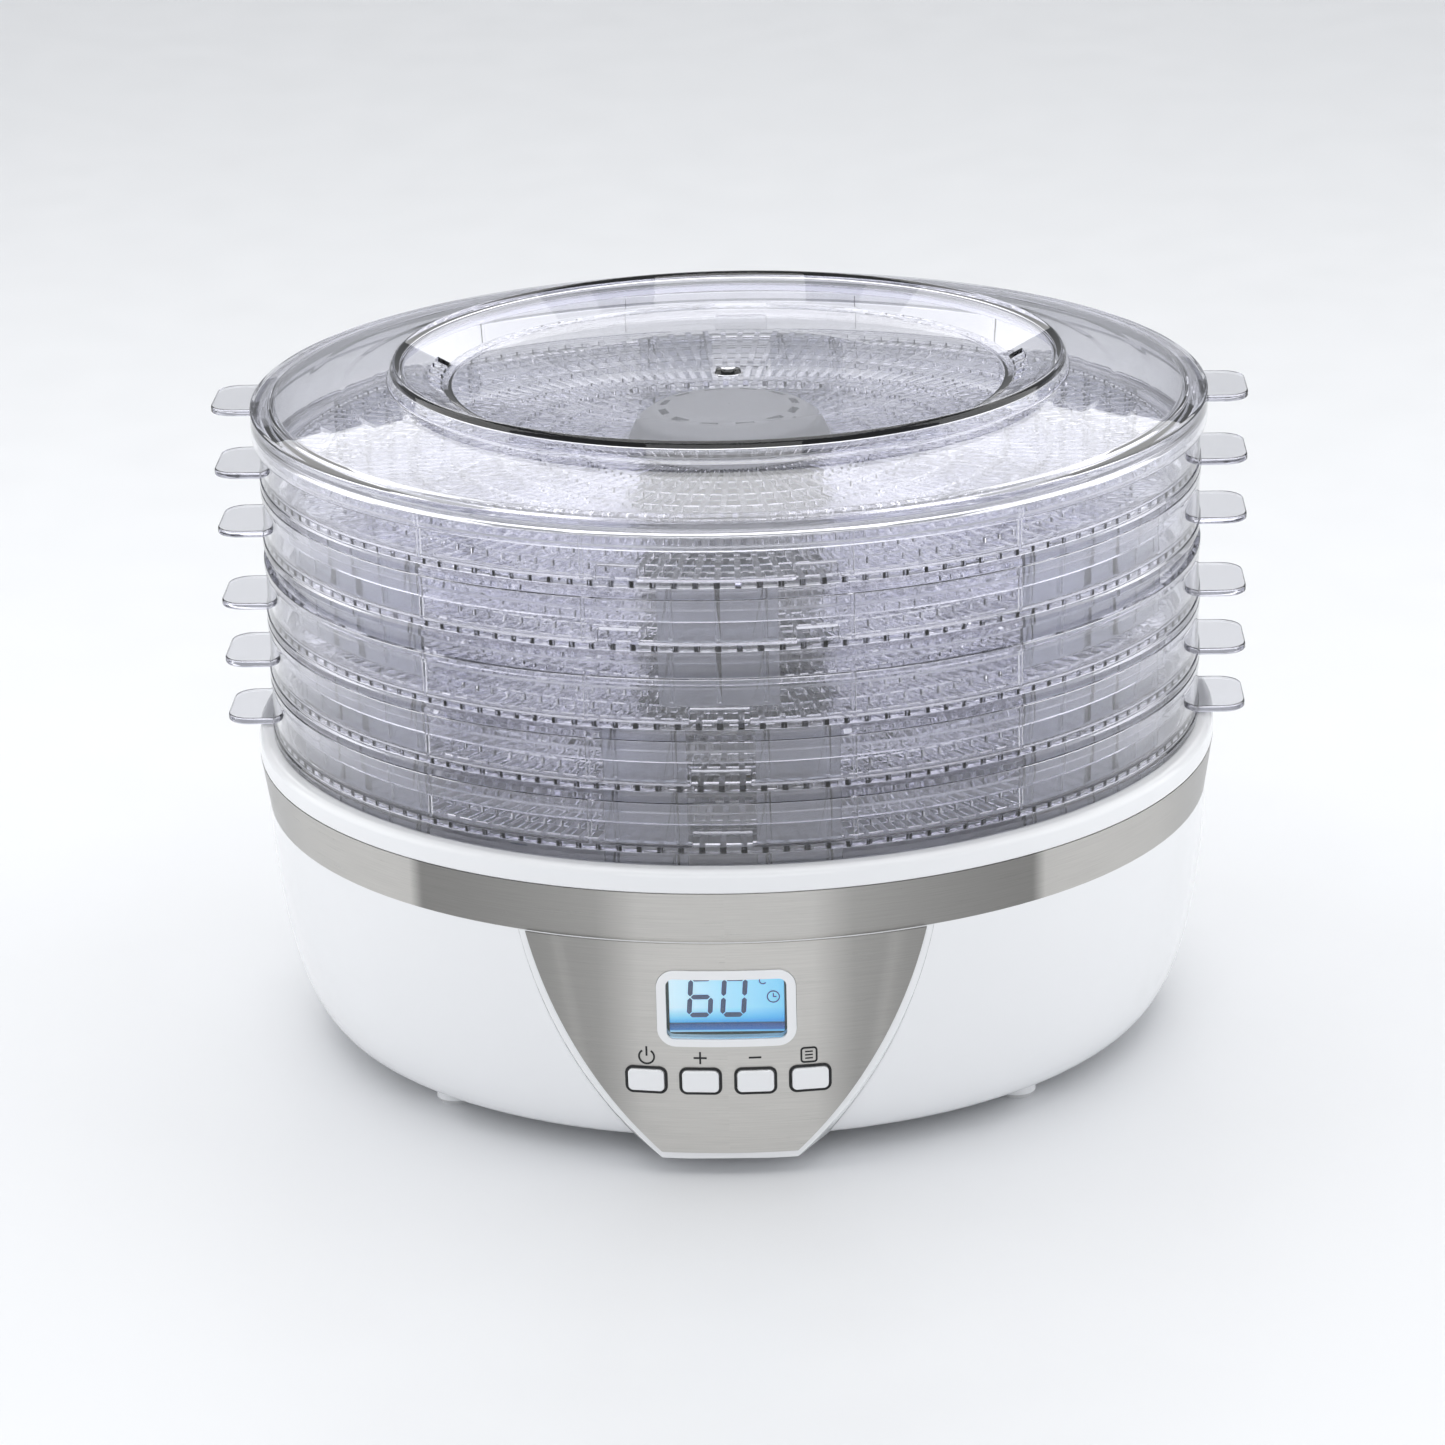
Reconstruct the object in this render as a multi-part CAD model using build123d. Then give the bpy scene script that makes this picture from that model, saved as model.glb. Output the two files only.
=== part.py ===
from build123d import *
import math
import os

os.makedirs("parts", exist_ok=True)

# Round food dehydrator: a base with fan, heater and controls, five stacked trays and a lid.
# Millimetres. It stands on z = 0 with its axis on Z, and the control panel faces -Y.

# Overall sizes
BOWL_Z0 = 6.0            # underside of the bowl, above the table
BAND_Z0 = 81.0           # lower edge of the steel band
BAND_Z1 = 98.0           # upper edge of the steel band
RIM_TOP = 105.7          # top of the white rim that carries the lowest tray
BOWL_FOOT_R = 139.2      # where the bowl's side turns into its flat underside
BOWL_TOP_R = 160.5       # the bowl and the band at BAND_Z0
RIM_R = 163.0            # the band at BAND_Z1 and the white rim
WALL = 2.6               # moulded wall of the base
BAND_T = 0.6             # sheet of the band
FIT = 0.1                # slack between pieces of the base that are only laid together
AIR = 0.3                # slack between pieces that move past each other

# Deck of the base, which the lowest tray's skirt reaches into
DECK_TOP = 89.9
DECK_WALL = 1.8
POCKET_R = 156.1
DECK_HOLE_R = 62.0
GRILLE_R = 69.0
GRILLE_T = 2.5
GRILLE_SLOTS = ((12, 26, 12), (29, 43, 24), (46, 60, 24))     # inner and outer radius, count
DECK_SCREWS = (6, 138.0, 30.0)      # count, ring radius, first bearing
SCREW_SINK = 1.2         # how deep the deck's screw heads sit
COLLAR_IN_R = 158.1      # inside of the bowl's collar, which the pocket's wall drops into
GROOVE_OUT_R = 161.0     # outer wall of the groove under the rim

# Bottom of the base
COVER_R = 118.0
COVER_T = 2.6
COVER_SLOTS = ((14, 30, 12), (33, 49, 24), (52, 68, 30))      # inner and outer radius, count
FOOT_BEARING = 45.0
FOOT_RING_R = 131.6
FOOT_R = 6.5
PAD_R = 5.4
PAD_T = 1.6
COVER_SCREWS = (4, 125.0, 22.5)     # count, ring radius, first bearing
COVER_LIP_R = 130.0      # ring of the cover that laps inside the bowl

# Trays
TRAY_R = 158.3           # outside of a tray's wall
TRAY_WALL = 2.2
SKIRT_R = 155.6          # outside of the skirt that hangs inside the tray below
SKIRT_WALL = 2.0
SKIRT_DROP = 8.0
FLOOR_T = 2.0
FLOOR_RISE = 4.7         # floor's upper face above the tray's seat
PITCH_LOW = 20.5         # tray to tray, stacked the same way round
PITCH_HIGH = 25.5        # tray to tray, the upper one turned by half a turn
LUG_WIDE = 28.0          # degrees
LUG_NARROW = 14.0
LUG_SIDE = 28.0
SIDE_LUG_BEARINGS = (52.0, 128.0, 232.0, 308.0)
BLOCK_ARC = 7.0          # degrees, of each stacking block
BLOCK_BEARING = 11.5     # of the outer stacking blocks, either side of the narrow lug
HUB_FOOT_R = 34.5
HUB_TOP_R = 28.0
HUB_RISE = 12.8
BAR = 2.2
WINDOW_BANDS = ((40.0, 64.0, 18), (67.0, 91.0, 18), (94.0, 118.0, 36), (121.0, 147.0, 36))
TAB_REACH = 173.5
TAB_WIDTH = 33.0
TAB_T = 2.3
TAB_CORNER = 8.0

# Lid
LID_R = 160.4
LID_T = 2.3
LID_SKIRT_Z = 209.0
LID_EDGE_Z = 218.8
RING_R = 111.9
RING_Z = 230.9
RECESS_R = 94.0
RECESS_Z = 222.3

# Control panel: a cone slice, a little wider at the top
PANEL_R = 161.5          # its face at BAND_Z0
PANEL_SLOPE = 3.0 / 73.0
PANEL_Z0 = 8.0
FASCIA_T = 0.8
POD_WALL = 2.4
POD_Z0 = 5.6
POD_DRAFT = 20.0         # degrees, how the pod widens towards the bowl
POD_DEPTH = 27.0
POD_HALVES = (60.4, 50.6, 20.6)     # half widths at the top, middle and bottom
FASCIA_HALVES = (63.7, 52.6, 20.7)
DISPLAY_HALF = 22.1
DISPLAY_Z = (45.5, 71.7)
SCREEN_HALF = 19.1
SCREEN_Z = (48.0, 68.7)
LCD_INSET = 0.9
LCD_Y = -155.8
LCD_T = 3.0
BUTTON_Z = 33.4
BUTTON_ARCS = {"power": -26.5, "plus": -8.85, "minus": 8.85, "menu": 26.5}
BUTTON_W, BUTTON_H = 11.7, 7.4
BUTTON_PROUD = 1.0
BUTTON_TRAVEL = 0.6
SURROUND_T = 0.7
BOARD_Y = -147.5         # front face of the control board
BOARD_T = 1.6
SWITCH_TIP_Y = -150.7

# Motor, fan and heater
MOTOR_R = 27.0
MOTOR_Z = (22.0, 44.0)
BRACKET_Z = 20.0
BRACKET_T = 2.0
BRACKET_SCREWS = 3
POST_RING_R = 37.0
SHAFT_R = 2.5
SHAFT_FIT = 0.05
FAN_R = 52.0
FAN_HUB_R = 9.0
FAN_Z = (48.0, 62.0)
FAN_BLADES = 7
DUCT_R = 60.0
DUCT_T = 1.2
DUCT_Z0 = 46.0
ELEMENT_R = 42.0
ELEMENT_WIRE_R = 3.2
ELEMENT_Z = 75.0

# Mains side, at the back
POWER_BOARD = (92.0, 46.0, 1.6)
POWER_BOARD_Y = 96.0
POWER_BOARD_Z = 18.0
POWER_BOARD_SCREWS = (40.0, 17.0)   # from the board's middle
INLET_Z = 26.0
INLET_BORE_R = 3.5
INLET_BODY_R = 6.5
INLET_FLANGE_R = 9.0

TRAY_SEATS = {"tray_5": RIM_TOP + AIR}
for above, below, pitch in (("tray_4", "tray_5", PITCH_LOW), ("tray_3", "tray_4", PITCH_LOW),
                            ("tray_2", "tray_3", PITCH_HIGH), ("tray_1", "tray_2", PITCH_LOW)):
    TRAY_SEATS[above] = TRAY_SEATS[below] + pitch
TURNED_TRAYS = ("tray_1", "tray_2")


# ---- helpers ---------------------------------------------------------------
def outline_face(*points):
    """Face in the XZ plane from (radius, height) corners."""
    return Plane.XZ * make_face(Polyline(*points, close=True))


def lathe(*points):
    """Solid of revolution about Z from (radius, height) corners."""
    return revolve(outline_face(*points), Axis.Z)


def tube(r_in, r_out, z0, z1):
    return lathe((r_in, z0), (r_out, z0), (r_out, z1), (r_in, z1))


def disc(r, z0, z1):
    return Pos(0, 0, z0) * Cylinder(r, z1 - z0, align=(Align.CENTER, Align.CENTER, Align.MIN))


def block(x0, x1, y0, y1, z0, z1):
    return Pos(x0, y0, z0) * Box(x1 - x0, y1 - y0, z1 - z0, align=Align.MIN)


def at_bearing(bearing, shape):
    """Turn a shape made at the front (-Y) to a bearing; a positive one is towards +X."""
    return Rot(0, 0, bearing) * shape


def sector(bearing, arc, *points):
    """Part of a ring, as wide as arc degrees and centred on the bearing."""
    return Rot(0, 0, bearing - 90 - arc / 2) * revolve(outline_face(*points), Axis.Z, arc)


def ring_of(count, radius, shape, first=0.0):
    """Copies of a shape made on the axis, set round a circle from the first bearing."""
    return [at_bearing(first + 360 * i / count, Pos(0, -radius, 0) * shape) for i in range(count)]


def screw_ring(pattern, shape):
    count, radius, first = pattern
    return ring_of(count, radius, shape, first)


def panel_r(z):
    return PANEL_R - PANEL_SLOPE * (BAND_Z0 - z)


def panel_slab(near, far, z0=POD_Z0, z1=BAND_Z0 - 0.2):
    """Cone shell behind the panel's face, from one depth to another."""
    return lathe((panel_r(z0) - far, z0), (panel_r(z0) - near, z0),
                 (panel_r(z1) - near, z1), (panel_r(z1) - far, z1))


def front_prism(face_xz, y0=-175.0, depth=60.0):
    """Prism of an XZ outline, from y0 towards the back."""
    return extrude(Pos(0, y0, 0) * face_xz, amount=depth, dir=(0, 1, 0))


def rounded_window(half, z_range, corner, grow=0.0):
    height = z_range[1] - z_range[0] + 2 * grow
    middle = (z_range[0] + z_range[1]) / 2
    return Plane.XZ * (Pos(0, middle) * RectangleRounded(2 * (half + grow), height, corner + grow))


def shield(top_half, mid_half, low_half, z_low, z_top=BAND_Z0):
    """Outline of the control panel: straight top and bottom, bowed sides."""
    z_mid = 50.0
    sides = [ThreePointArc((s * top_half, z_top), (s * mid_half, z_mid), (s * low_half, z_low))
             for s in (-1, 1)]
    top = Line((-top_half, z_top), (top_half, z_top))
    bottom = Line((-low_half, z_low), (low_half, z_low))
    return Plane.XZ * make_face([top, sides[0], bottom, sides[1]])


def button_plane(name):
    """Plane on the panel's face at a button, its Z pointing out of the panel."""
    angle = BUTTON_ARCS[name] / PANEL_R
    r = panel_r(BUTTON_Z)
    tilt = math.atan(PANEL_SLOPE)
    outward = (math.sin(angle) * math.cos(tilt), -math.cos(angle) * math.cos(tilt), -math.sin(tilt))
    origin = (r * math.sin(angle), -r * math.cos(angle), BUTTON_Z)
    return Plane(origin=origin, x_dir=(math.cos(angle), math.sin(angle), 0), z_dir=outward)


def button_prism(name, grow, near, far, corner=1.6):
    """Rounded block at a button, between two depths behind the panel's face."""
    sketch = RectangleRounded(BUTTON_W + 2 * grow, BUTTON_H + 2 * grow, corner + grow)
    return extrude(button_plane(name) * (Pos(0, 0, -far) * sketch), amount=far - near)


# ---- casing ----------------------------------------------------------------
def bowl_solid(inset, z0):
    """Filled bowl: a superellipse that rises from the flat underside to the band."""
    def radius(t):
        return BOWL_FOOT_R - inset + (BOWL_TOP_R - BOWL_FOOT_R) * (1 - t ** 1.66) ** (1 / 2.2)

    side = [(radius(t), BAND_Z0 - (BAND_Z0 - z0) * t) for t in (0, 0.25, 0.5, 0.7, 0.85, 0.95, 1)]
    curve = Spline(*side, tangents=[(0, -1), (-1, 0)])
    rest = Polyline(side[-1], (0, z0), (0, BAND_Z0), side[0])
    return revolve(Plane.XZ * make_face([curve, rest]), Axis.Z)


def pod_prism(inset=0.0):
    """Shield-shaped block, let into the bowl, that widens towards the back."""
    top_half, mid_half, low_half = (half - inset for half in POD_HALVES)
    front = Pos(0, -PANEL_R, 0) * shield(top_half, mid_half, low_half,
                                         POD_Z0 + 1.6 + inset, BAND_Z0 - inset)
    return extrude(front, amount=POD_DEPTH, dir=(0, 1, 0), taper=-POD_DRAFT)


def base_bowl():
    shell = bowl_solid(0, BOWL_Z0) - bowl_solid(WALL, BOWL_Z0 + WALL)
    collar = lathe((COLLAR_IN_R, BAND_Z0 - 1), (BOWL_TOP_R - BAND_T - 0.3, BAND_Z0 - 1),
                   (BOWL_TOP_R - BAND_T, BAND_Z0), (RIM_R - BAND_T, BAND_Z1), (COLLAR_IN_R, BAND_Z1))
    shell = shell + collar
    shell -= disc(COVER_R + FIT, 0, 20)
    shell -= pod_prism(-FIT) & panel_slab(0, 60)
    shell -= Pos(0, 150, INLET_Z) * Rot(90, 0, 0) * Cylinder(INLET_BODY_R + FIT, 40)
    return shell - screw_ring(COVER_SCREWS, disc(2.0, 0, 10))


def steel_band():
    return lathe((BOWL_TOP_R - BAND_T, BAND_Z0), (BOWL_TOP_R, BAND_Z0), (RIM_R, BAND_Z1),
                 (RIM_R - BAND_T, BAND_Z1))


def rim_ring():
    """White rim whose inner wall makes the pocket for the lowest tray's skirt."""
    ease, roof = 1.2, 2.4
    return lathe((RIM_R, BAND_Z1), (RIM_R, RIM_TOP - ease), (RIM_R - ease, RIM_TOP), (POCKET_R, RIM_TOP),
                 (POCKET_R, DECK_TOP - WALL), (POCKET_R + DECK_WALL, DECK_TOP - WALL),
                 (POCKET_R + DECK_WALL, RIM_TOP - roof), (GROOVE_OUT_R, RIM_TOP - roof),
                 (GROOVE_OUT_R, BAND_Z1))


def top_deck():
    """Floor of the base's upper side, laid inside the rim, with the bosses that carry it."""
    under = DECK_TOP - WALL
    deck = tube(DECK_HOLE_R, POCKET_R - FIT, under, DECK_TOP)
    bosses = screw_ring(DECK_SCREWS, disc(4.5, 60, under))
    holes = screw_ring(DECK_SCREWS, disc(1.9, 55, DECK_TOP + 1))
    recesses = screw_ring(DECK_SCREWS, disc(3.6, DECK_TOP - SCREW_SINK, DECK_TOP + 1))
    return deck + bosses - holes - recesses


def slot_rings(rings, rib, z0, height):
    """Rings of curved slots; each ring is (inner radius, outer radius, count)."""
    slots = []
    for r0, r1, count in rings:
        ribs = [Rot(0, 0, 360 * i / count) * (Pos(r1 / 2, 0) * Rectangle(r1 + 4, rib))
                for i in range(count)]
        slots.append(extrude(Pos(0, 0, z0) * (Circle(r1) - Circle(r0) - ribs), amount=height))
    return slots


def air_grille():
    plate = lathe((0, DECK_TOP), (GRILLE_R, DECK_TOP), (GRILLE_R, DECK_TOP + 1.6),
                  (GRILLE_R - 1, DECK_TOP + GRILLE_T), (0, DECK_TOP + GRILLE_T))
    return plate - slot_rings(GRILLE_SLOTS, 2.4, DECK_TOP - 1, GRILLE_T + 2)


def bottom_cover():
    top = BOWL_Z0 + COVER_T
    lip = tube(COVER_R - 6, COVER_LIP_R, BOWL_Z0 + WALL, BOWL_Z0 + WALL + 2)
    cover = disc(COVER_R, BOWL_Z0, top) + lip - screw_ring(COVER_SCREWS, disc(1.5, 5, 20))
    cover -= slot_rings(COVER_SLOTS, 3.2, BOWL_Z0 - 1, COVER_T + 2)
    cover += ring_of(BRACKET_SCREWS, POST_RING_R, disc(7, BOWL_Z0, top), 60)
    cover += ring_of(BRACKET_SCREWS, POST_RING_R, disc(4, top, BRACKET_Z), 60)
    cover += at_power_board_corners(disc(3.5, top, POWER_BOARD_Z))
    cover -= ring_of(BRACKET_SCREWS, POST_RING_R, disc(1.5, BRACKET_Z - 8, BRACKET_Z + 1), 60)
    return cover - at_power_board_corners(disc(1.3, POWER_BOARD_Z - 6, POWER_BOARD_Z + 1))


def at_power_board_corners(shape):
    """Copies of a shape made on the axis, at the power board's four screws."""
    dx, dy = POWER_BOARD_SCREWS
    return [Pos(sx * dx, POWER_BOARD_Y + sy * dy, 0) * shape for sx in (-1, 1) for sy in (-1, 1)]


def screw_down(length, head_r=3.0, head_t=1.8, r=1.4):
    """Pan-head screw whose head's underside is at z = 0, pointing down."""
    return disc(r, -length, 0) + disc(head_r, 0, head_t) - block(-2, 2, -0.4, 0.4, head_t - 0.8, head_t)


def screw_up(length):
    return Rot(180, 0, 0) * screw_down(length)


def feet():
    posts = ring_of(4, FOOT_RING_R, disc(FOOT_R, PAD_T, 22), FOOT_BEARING)
    return [post - bowl_solid(0, BOWL_Z0) for post in posts]


def foot_pads():
    return ring_of(4, FOOT_RING_R, disc(PAD_R, 0, PAD_T), FOOT_BEARING)


# ---- control panel ---------------------------------------------------------
def control_pod():
    outer = pod_prism() & panel_slab(FASCIA_T, 60, POD_Z0, BAND_Z0 - 0.2)
    inner = pod_prism(POD_WALL) & panel_slab(FASCIA_T + POD_WALL, 60, POD_Z0 + POD_WALL, BAND_Z0 - 3)
    pod = outer - inner - bowl_solid(WALL, BOWL_Z0 + WALL)
    pod -= front_prism(rounded_window(DISPLAY_HALF, DISPLAY_Z, 6, FIT))
    for name in BUTTON_ARCS:
        pod -= button_prism(name, AIR, -5, 12)
    return pod


def steel_fascia():
    sheet = panel_slab(0, FASCIA_T, PANEL_Z0, BAND_Z0 - 0.3)
    sheet &= front_prism(shield(*FASCIA_HALVES, PANEL_Z0 - 1))
    sheet -= front_prism(rounded_window(DISPLAY_HALF, DISPLAY_Z, 6, FIT))
    for name in BUTTON_ARCS:
        sheet -= button_prism(name, AIR + SURROUND_T, -5, 5)
    return sheet


def display_bezel():
    frame = front_prism(rounded_window(DISPLAY_HALF, DISPLAY_Z, 6))
    frame -= front_prism(rounded_window(SCREEN_HALF, SCREEN_Z, 2.5))
    return frame & panel_slab(-0.7, 4.4, DISPLAY_Z[0] - 2, DISPLAY_Z[1] + 2)


def display_window():
    lens = front_prism(rounded_window(SCREEN_HALF - 0.05, (SCREEN_Z[0] + 0.05, SCREEN_Z[1] - 0.05), 2.4))
    return lens & panel_slab(0.4, 1.6, SCREEN_Z[0] - 2, SCREEN_Z[1] + 2)


def lcd_slab(y0, y1):
    half = SCREEN_HALF - LCD_INSET
    return block(-half, half, y0, y1, SCREEN_Z[0] + LCD_INSET, SCREEN_Z[1] - LCD_INSET)


def lcd_module():
    return lcd_slab(LCD_Y, LCD_Y + LCD_T)


def lcd_backlight():
    return lcd_slab(LCD_Y + LCD_T, BOARD_Y)


def button(name):
    cap = button_prism(name, 0, -BUTTON_PROUD, 3.5)
    cap = fillet(cap.faces().sort_by(Axis.Y)[0].edges(), 0.5)
    flange = button_prism(name, 1.2, FASCIA_T + POD_WALL + AIR, 4.5)
    stem = extrude(button_plane(name) * (Pos(0, 0, -14) * Circle(1.6)), amount=10)
    clear_y = SWITCH_TIP_Y - BUTTON_TRAVEL - AIR
    return cap + flange + stem - block(-60, 60, clear_y, -120, 0, 80)


def button_surrounds():
    return [button_prism(name, AIR + SURROUND_T, -0.3, FASCIA_T) - button_prism(name, AIR, -1, 2)
            for name in BUTTON_ARCS]


def button_x(name):
    return panel_r(BUTTON_Z) * math.sin(BUTTON_ARCS[name] / PANEL_R)


def button_switches():
    switches = []
    for name in BUTTON_ARCS:
        x = button_x(name)
        body = block(x - 3, x + 3, BOARD_Y - 2.6, BOARD_Y, BUTTON_Z - 3.6, BUTTON_Z + 2.4)
        tip = Pos(x, SWITCH_TIP_Y, BUTTON_Z - 0.4) * Rot(-90, 0, 0) * disc(1.6, 0, 1)
        switches.append(body + tip)
    return switches


BOARD_HOLES = [(-28, 44), (28, 44), (-28, 72), (28, 72)]


def control_board():
    board = block(-32.5, 32.5, BOARD_Y, BOARD_Y + BOARD_T, 27, 75)
    return board - [Pos(x, BOARD_Y, z) * Rot(-90, 0, 0) * disc(1.7, -1, 3) for x, z in BOARD_HOLES]


def board_pillars():
    """Pillars of the pod that the control board is screwed to."""
    pillars = []
    for x, z in BOARD_HOLES:
        pillar = Pos(x, BOARD_Y, z) * Rot(90, 0, 0) * (disc(3.0, 0, 20) - disc(1.3, -1, 6))
        pillars.append(pillar & panel_slab(FASCIA_T + POD_WALL - 0.5, 60))
    return pillars


def board_screws():
    screw = screw_down(7, head_r=2.8, r=1.25)
    return [Pos(x, BOARD_Y + BOARD_T, z) * Rot(-90, 0, 0) * screw for x, z in BOARD_HOLES]


# ---- motor, fan and heater -------------------------------------------------
def motor_bracket():
    plate = disc(MOTOR_R + 3, BRACKET_Z, BRACKET_Z + BRACKET_T)
    plate += ring_of(BRACKET_SCREWS, POST_RING_R, disc(9, BRACKET_Z, BRACKET_Z + BRACKET_T), 60)
    plate -= ring_of(BRACKET_SCREWS, POST_RING_R, disc(1.7, 0, 40), 60)
    return plate - disc(6.2, 0, 40) - ring_of(3, 20, disc(3, 0, 40), 0)


def motor_can():
    z0, z1 = MOTOR_Z
    can = fillet(disc(MOTOR_R, z0, z1).edges(), 1.5)
    can -= disc(MOTOR_R - 1.5, z0 + 1.5, z1 - 1.5)
    return can - disc(6, z0 - 1, z1 + 1)


def motor_bushes():
    """The two plain bearings, pressed into the ends of the can."""
    z0, z1 = MOTOR_Z
    return [tube(SHAFT_R + SHAFT_FIT, 6, z0, z0 + 4), tube(SHAFT_R + SHAFT_FIT, 6, z1 - 4, z1)]


def motor_stator():
    """Wound ring inside the can, clear of the rotor."""
    z0, z1 = MOTOR_Z
    ring = tube(17, MOTOR_R - 1.6, z0 + 5, z1 - 5)
    return ring - ring_of(8, 17, block(-1.5, 1.5, -2.5, 2.5, z0, z1), 22.5)


def motor_rotor():
    z0, z1 = MOTOR_Z
    return tube(SHAFT_R, 16.2, z0 + 5, z1 - 5)


def fan_shaft():
    return disc(SHAFT_R, MOTOR_Z[0] - 1, FAN_Z[1] + 5)


def fan_impeller():
    z0, z1 = FAN_Z
    hub = tube(SHAFT_R, FAN_HUB_R, z0, z1)
    plate = tube(FAN_HUB_R - 1, FAN_R, z0, z0 + 1.8)
    blade_path = ThreePointArc((0, -FAN_HUB_R + 1.5), (5, -32), (18, -FAN_R + 5))
    blade = extrude(trace(blade_path, 1.8), amount=z1 - z0 - 1)
    return hub + plate + [at_bearing(360 * i / FAN_BLADES, Pos(0, 0, z0 + 0.5) * blade)
                          for i in range(FAN_BLADES)]


def fan_nut():
    nut = extrude(Pos(0, 0, FAN_Z[1]) * RegularPolygon(5, 6), amount=3.5)
    return nut - disc(SHAFT_R, 0, 90)


def air_duct():
    duct = tube(DUCT_R, DUCT_R + DUCT_T, DUCT_Z0, DECK_TOP - WALL)
    flange = tube(DUCT_R, DUCT_R + 8, DECK_TOP - WALL - 1.2, DECK_TOP - WALL)
    terminals = [Pos(s * 6, -DUCT_R, ELEMENT_Z) * Rot(90, 0, 0) * Cylinder(ELEMENT_WIRE_R + FIT, 20)
                 for s in (-1, 1)]
    return duct + flange - terminals


def heater_element():
    """Sheathed ring element whose two ends leave the duct side by side at the front."""
    gap_half = math.degrees(math.asin(6 / ELEMENT_R))
    section = Plane.XZ * (Pos(ELEMENT_R, ELEMENT_Z) * Circle(ELEMENT_WIRE_R))
    ring = Rot(0, 0, gap_half - 90) * revolve(section, Axis.Z, 360 - 2 * gap_half)
    end_y = -ELEMENT_R * math.cos(math.radians(gap_half))
    for s in (-1, 1):
        leg = Pos(s * 6, end_y, ELEMENT_Z) * Rot(90, 0, 0) * disc(ELEMENT_WIRE_R, 0, 26)
        elbow = Pos(s * 6, end_y, ELEMENT_Z) * Sphere(ELEMENT_WIRE_R)
        ring = ring + leg + elbow
    return ring


def heater_frame():
    """Three upright plates from the duct's wall that carry the element."""
    plate = block(-1, 1, -DUCT_R, -ELEMENT_R + 8, ELEMENT_Z - 9, ELEMENT_Z + 9)
    hole = Pos(0, -ELEMENT_R, ELEMENT_Z) * Rot(0, 90, 0) * Cylinder(ELEMENT_WIRE_R + 0.15, 6)
    plate = (plate - hole) & disc(DUCT_R, 0, 100)
    return [at_bearing(bearing, plate) for bearing in (60, 180, 300)]


def thermal_cutout():
    """Bimetal switch on a strap across the duct's wall, below the element."""
    body = Pos(0, -54.5, 63) * Rot(90, 0, 0) * Cylinder(8, 5)
    strap = block(-13, 13, -DUCT_R - 1, -57, 61, 65) & disc(DUCT_R, 0, 100)
    return at_bearing(120, body + strap)


def temperature_sensor():
    stem = Pos(34, 0, DECK_TOP - 14) * Cylinder(1.5, 14)
    return stem + Pos(34, 0, DECK_TOP - 21) * Sphere(2.4)


# ---- mains side ------------------------------------------------------------
def power_board():
    x, y, t = POWER_BOARD
    board = Pos(0, POWER_BOARD_Y, POWER_BOARD_Z + t / 2) * Box(x, y, t)
    return board - at_power_board_corners(disc(1.7, 0, 40))


def on_power_board(x, y, width, depth, height):
    z0 = POWER_BOARD_Z + POWER_BOARD[2]
    return block(x - width / 2, x + width / 2, POWER_BOARD_Y + y - depth / 2,
                 POWER_BOARD_Y + y + depth / 2, z0, z0 + height)


def power_transformer():
    core = on_power_board(-20, 0, 30, 25, 22)
    return core - on_power_board(-20, 0, 40, 6, 3)


def power_relay():
    return on_power_board(12, -8, 20, 15, 15)


def power_capacitor():
    z0 = POWER_BOARD_Z + POWER_BOARD[2]
    return Pos(30, POWER_BOARD_Y + 6, 0) * disc(6, z0, z0 + 20)


def mains_terminals():
    strip = on_power_board(8, 14, 24, 9, 11)
    return strip - [Pos(x, POWER_BOARD_Y + 14, 0) * disc(2, 25, 40) for x in (0, 8, 16)]


def power_board_screws():
    z = POWER_BOARD_Z + POWER_BOARD[2]
    return at_power_board_corners(Pos(0, 0, z) * screw_down(7, head_r=2.8, r=1.25))


def cable_inlet():
    """Bush in the back wall that the mains cable passes through."""
    outward = Pos(0, 152, INLET_Z) * Rot(-90, 0, 0)
    flange = outward * disc(INLET_FLANGE_R, -6, 7.5) - bowl_solid(0, BOWL_Z0)
    grip = outward * disc(INLET_FLANGE_R, -11, -8)
    bush = flange + grip + outward * disc(INLET_BODY_R, -16, 8)
    return bush - outward * disc(INLET_BORE_R, -20, 20)


# ---- trays and lid ---------------------------------------------------------
def grid_windows():
    """All the openings of a tray's floor, as one flat sketch."""
    windows = []
    for r0, r1, count in WINDOW_BANDS:
        bars = [Rot(0, 0, 360 * (i + 0.5) / count) * (Pos(r1 / 2, 0) * Rectangle(r1 + 6, BAR))
                for i in range(count)]
        windows.append(Circle(r1) - Circle(r0) - bars)
    return windows


def side_tabs(z0, wall_r):
    """The two finger tabs, left and right."""
    plate = Pos(0, 0, z0) * extrude(RectangleRounded(2 * TAB_REACH, TAB_WIDTH, TAB_CORNER), amount=TAB_T)
    return plate - disc(wall_r - 0.8, z0 - 1, z0 + TAB_T + 1)


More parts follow.
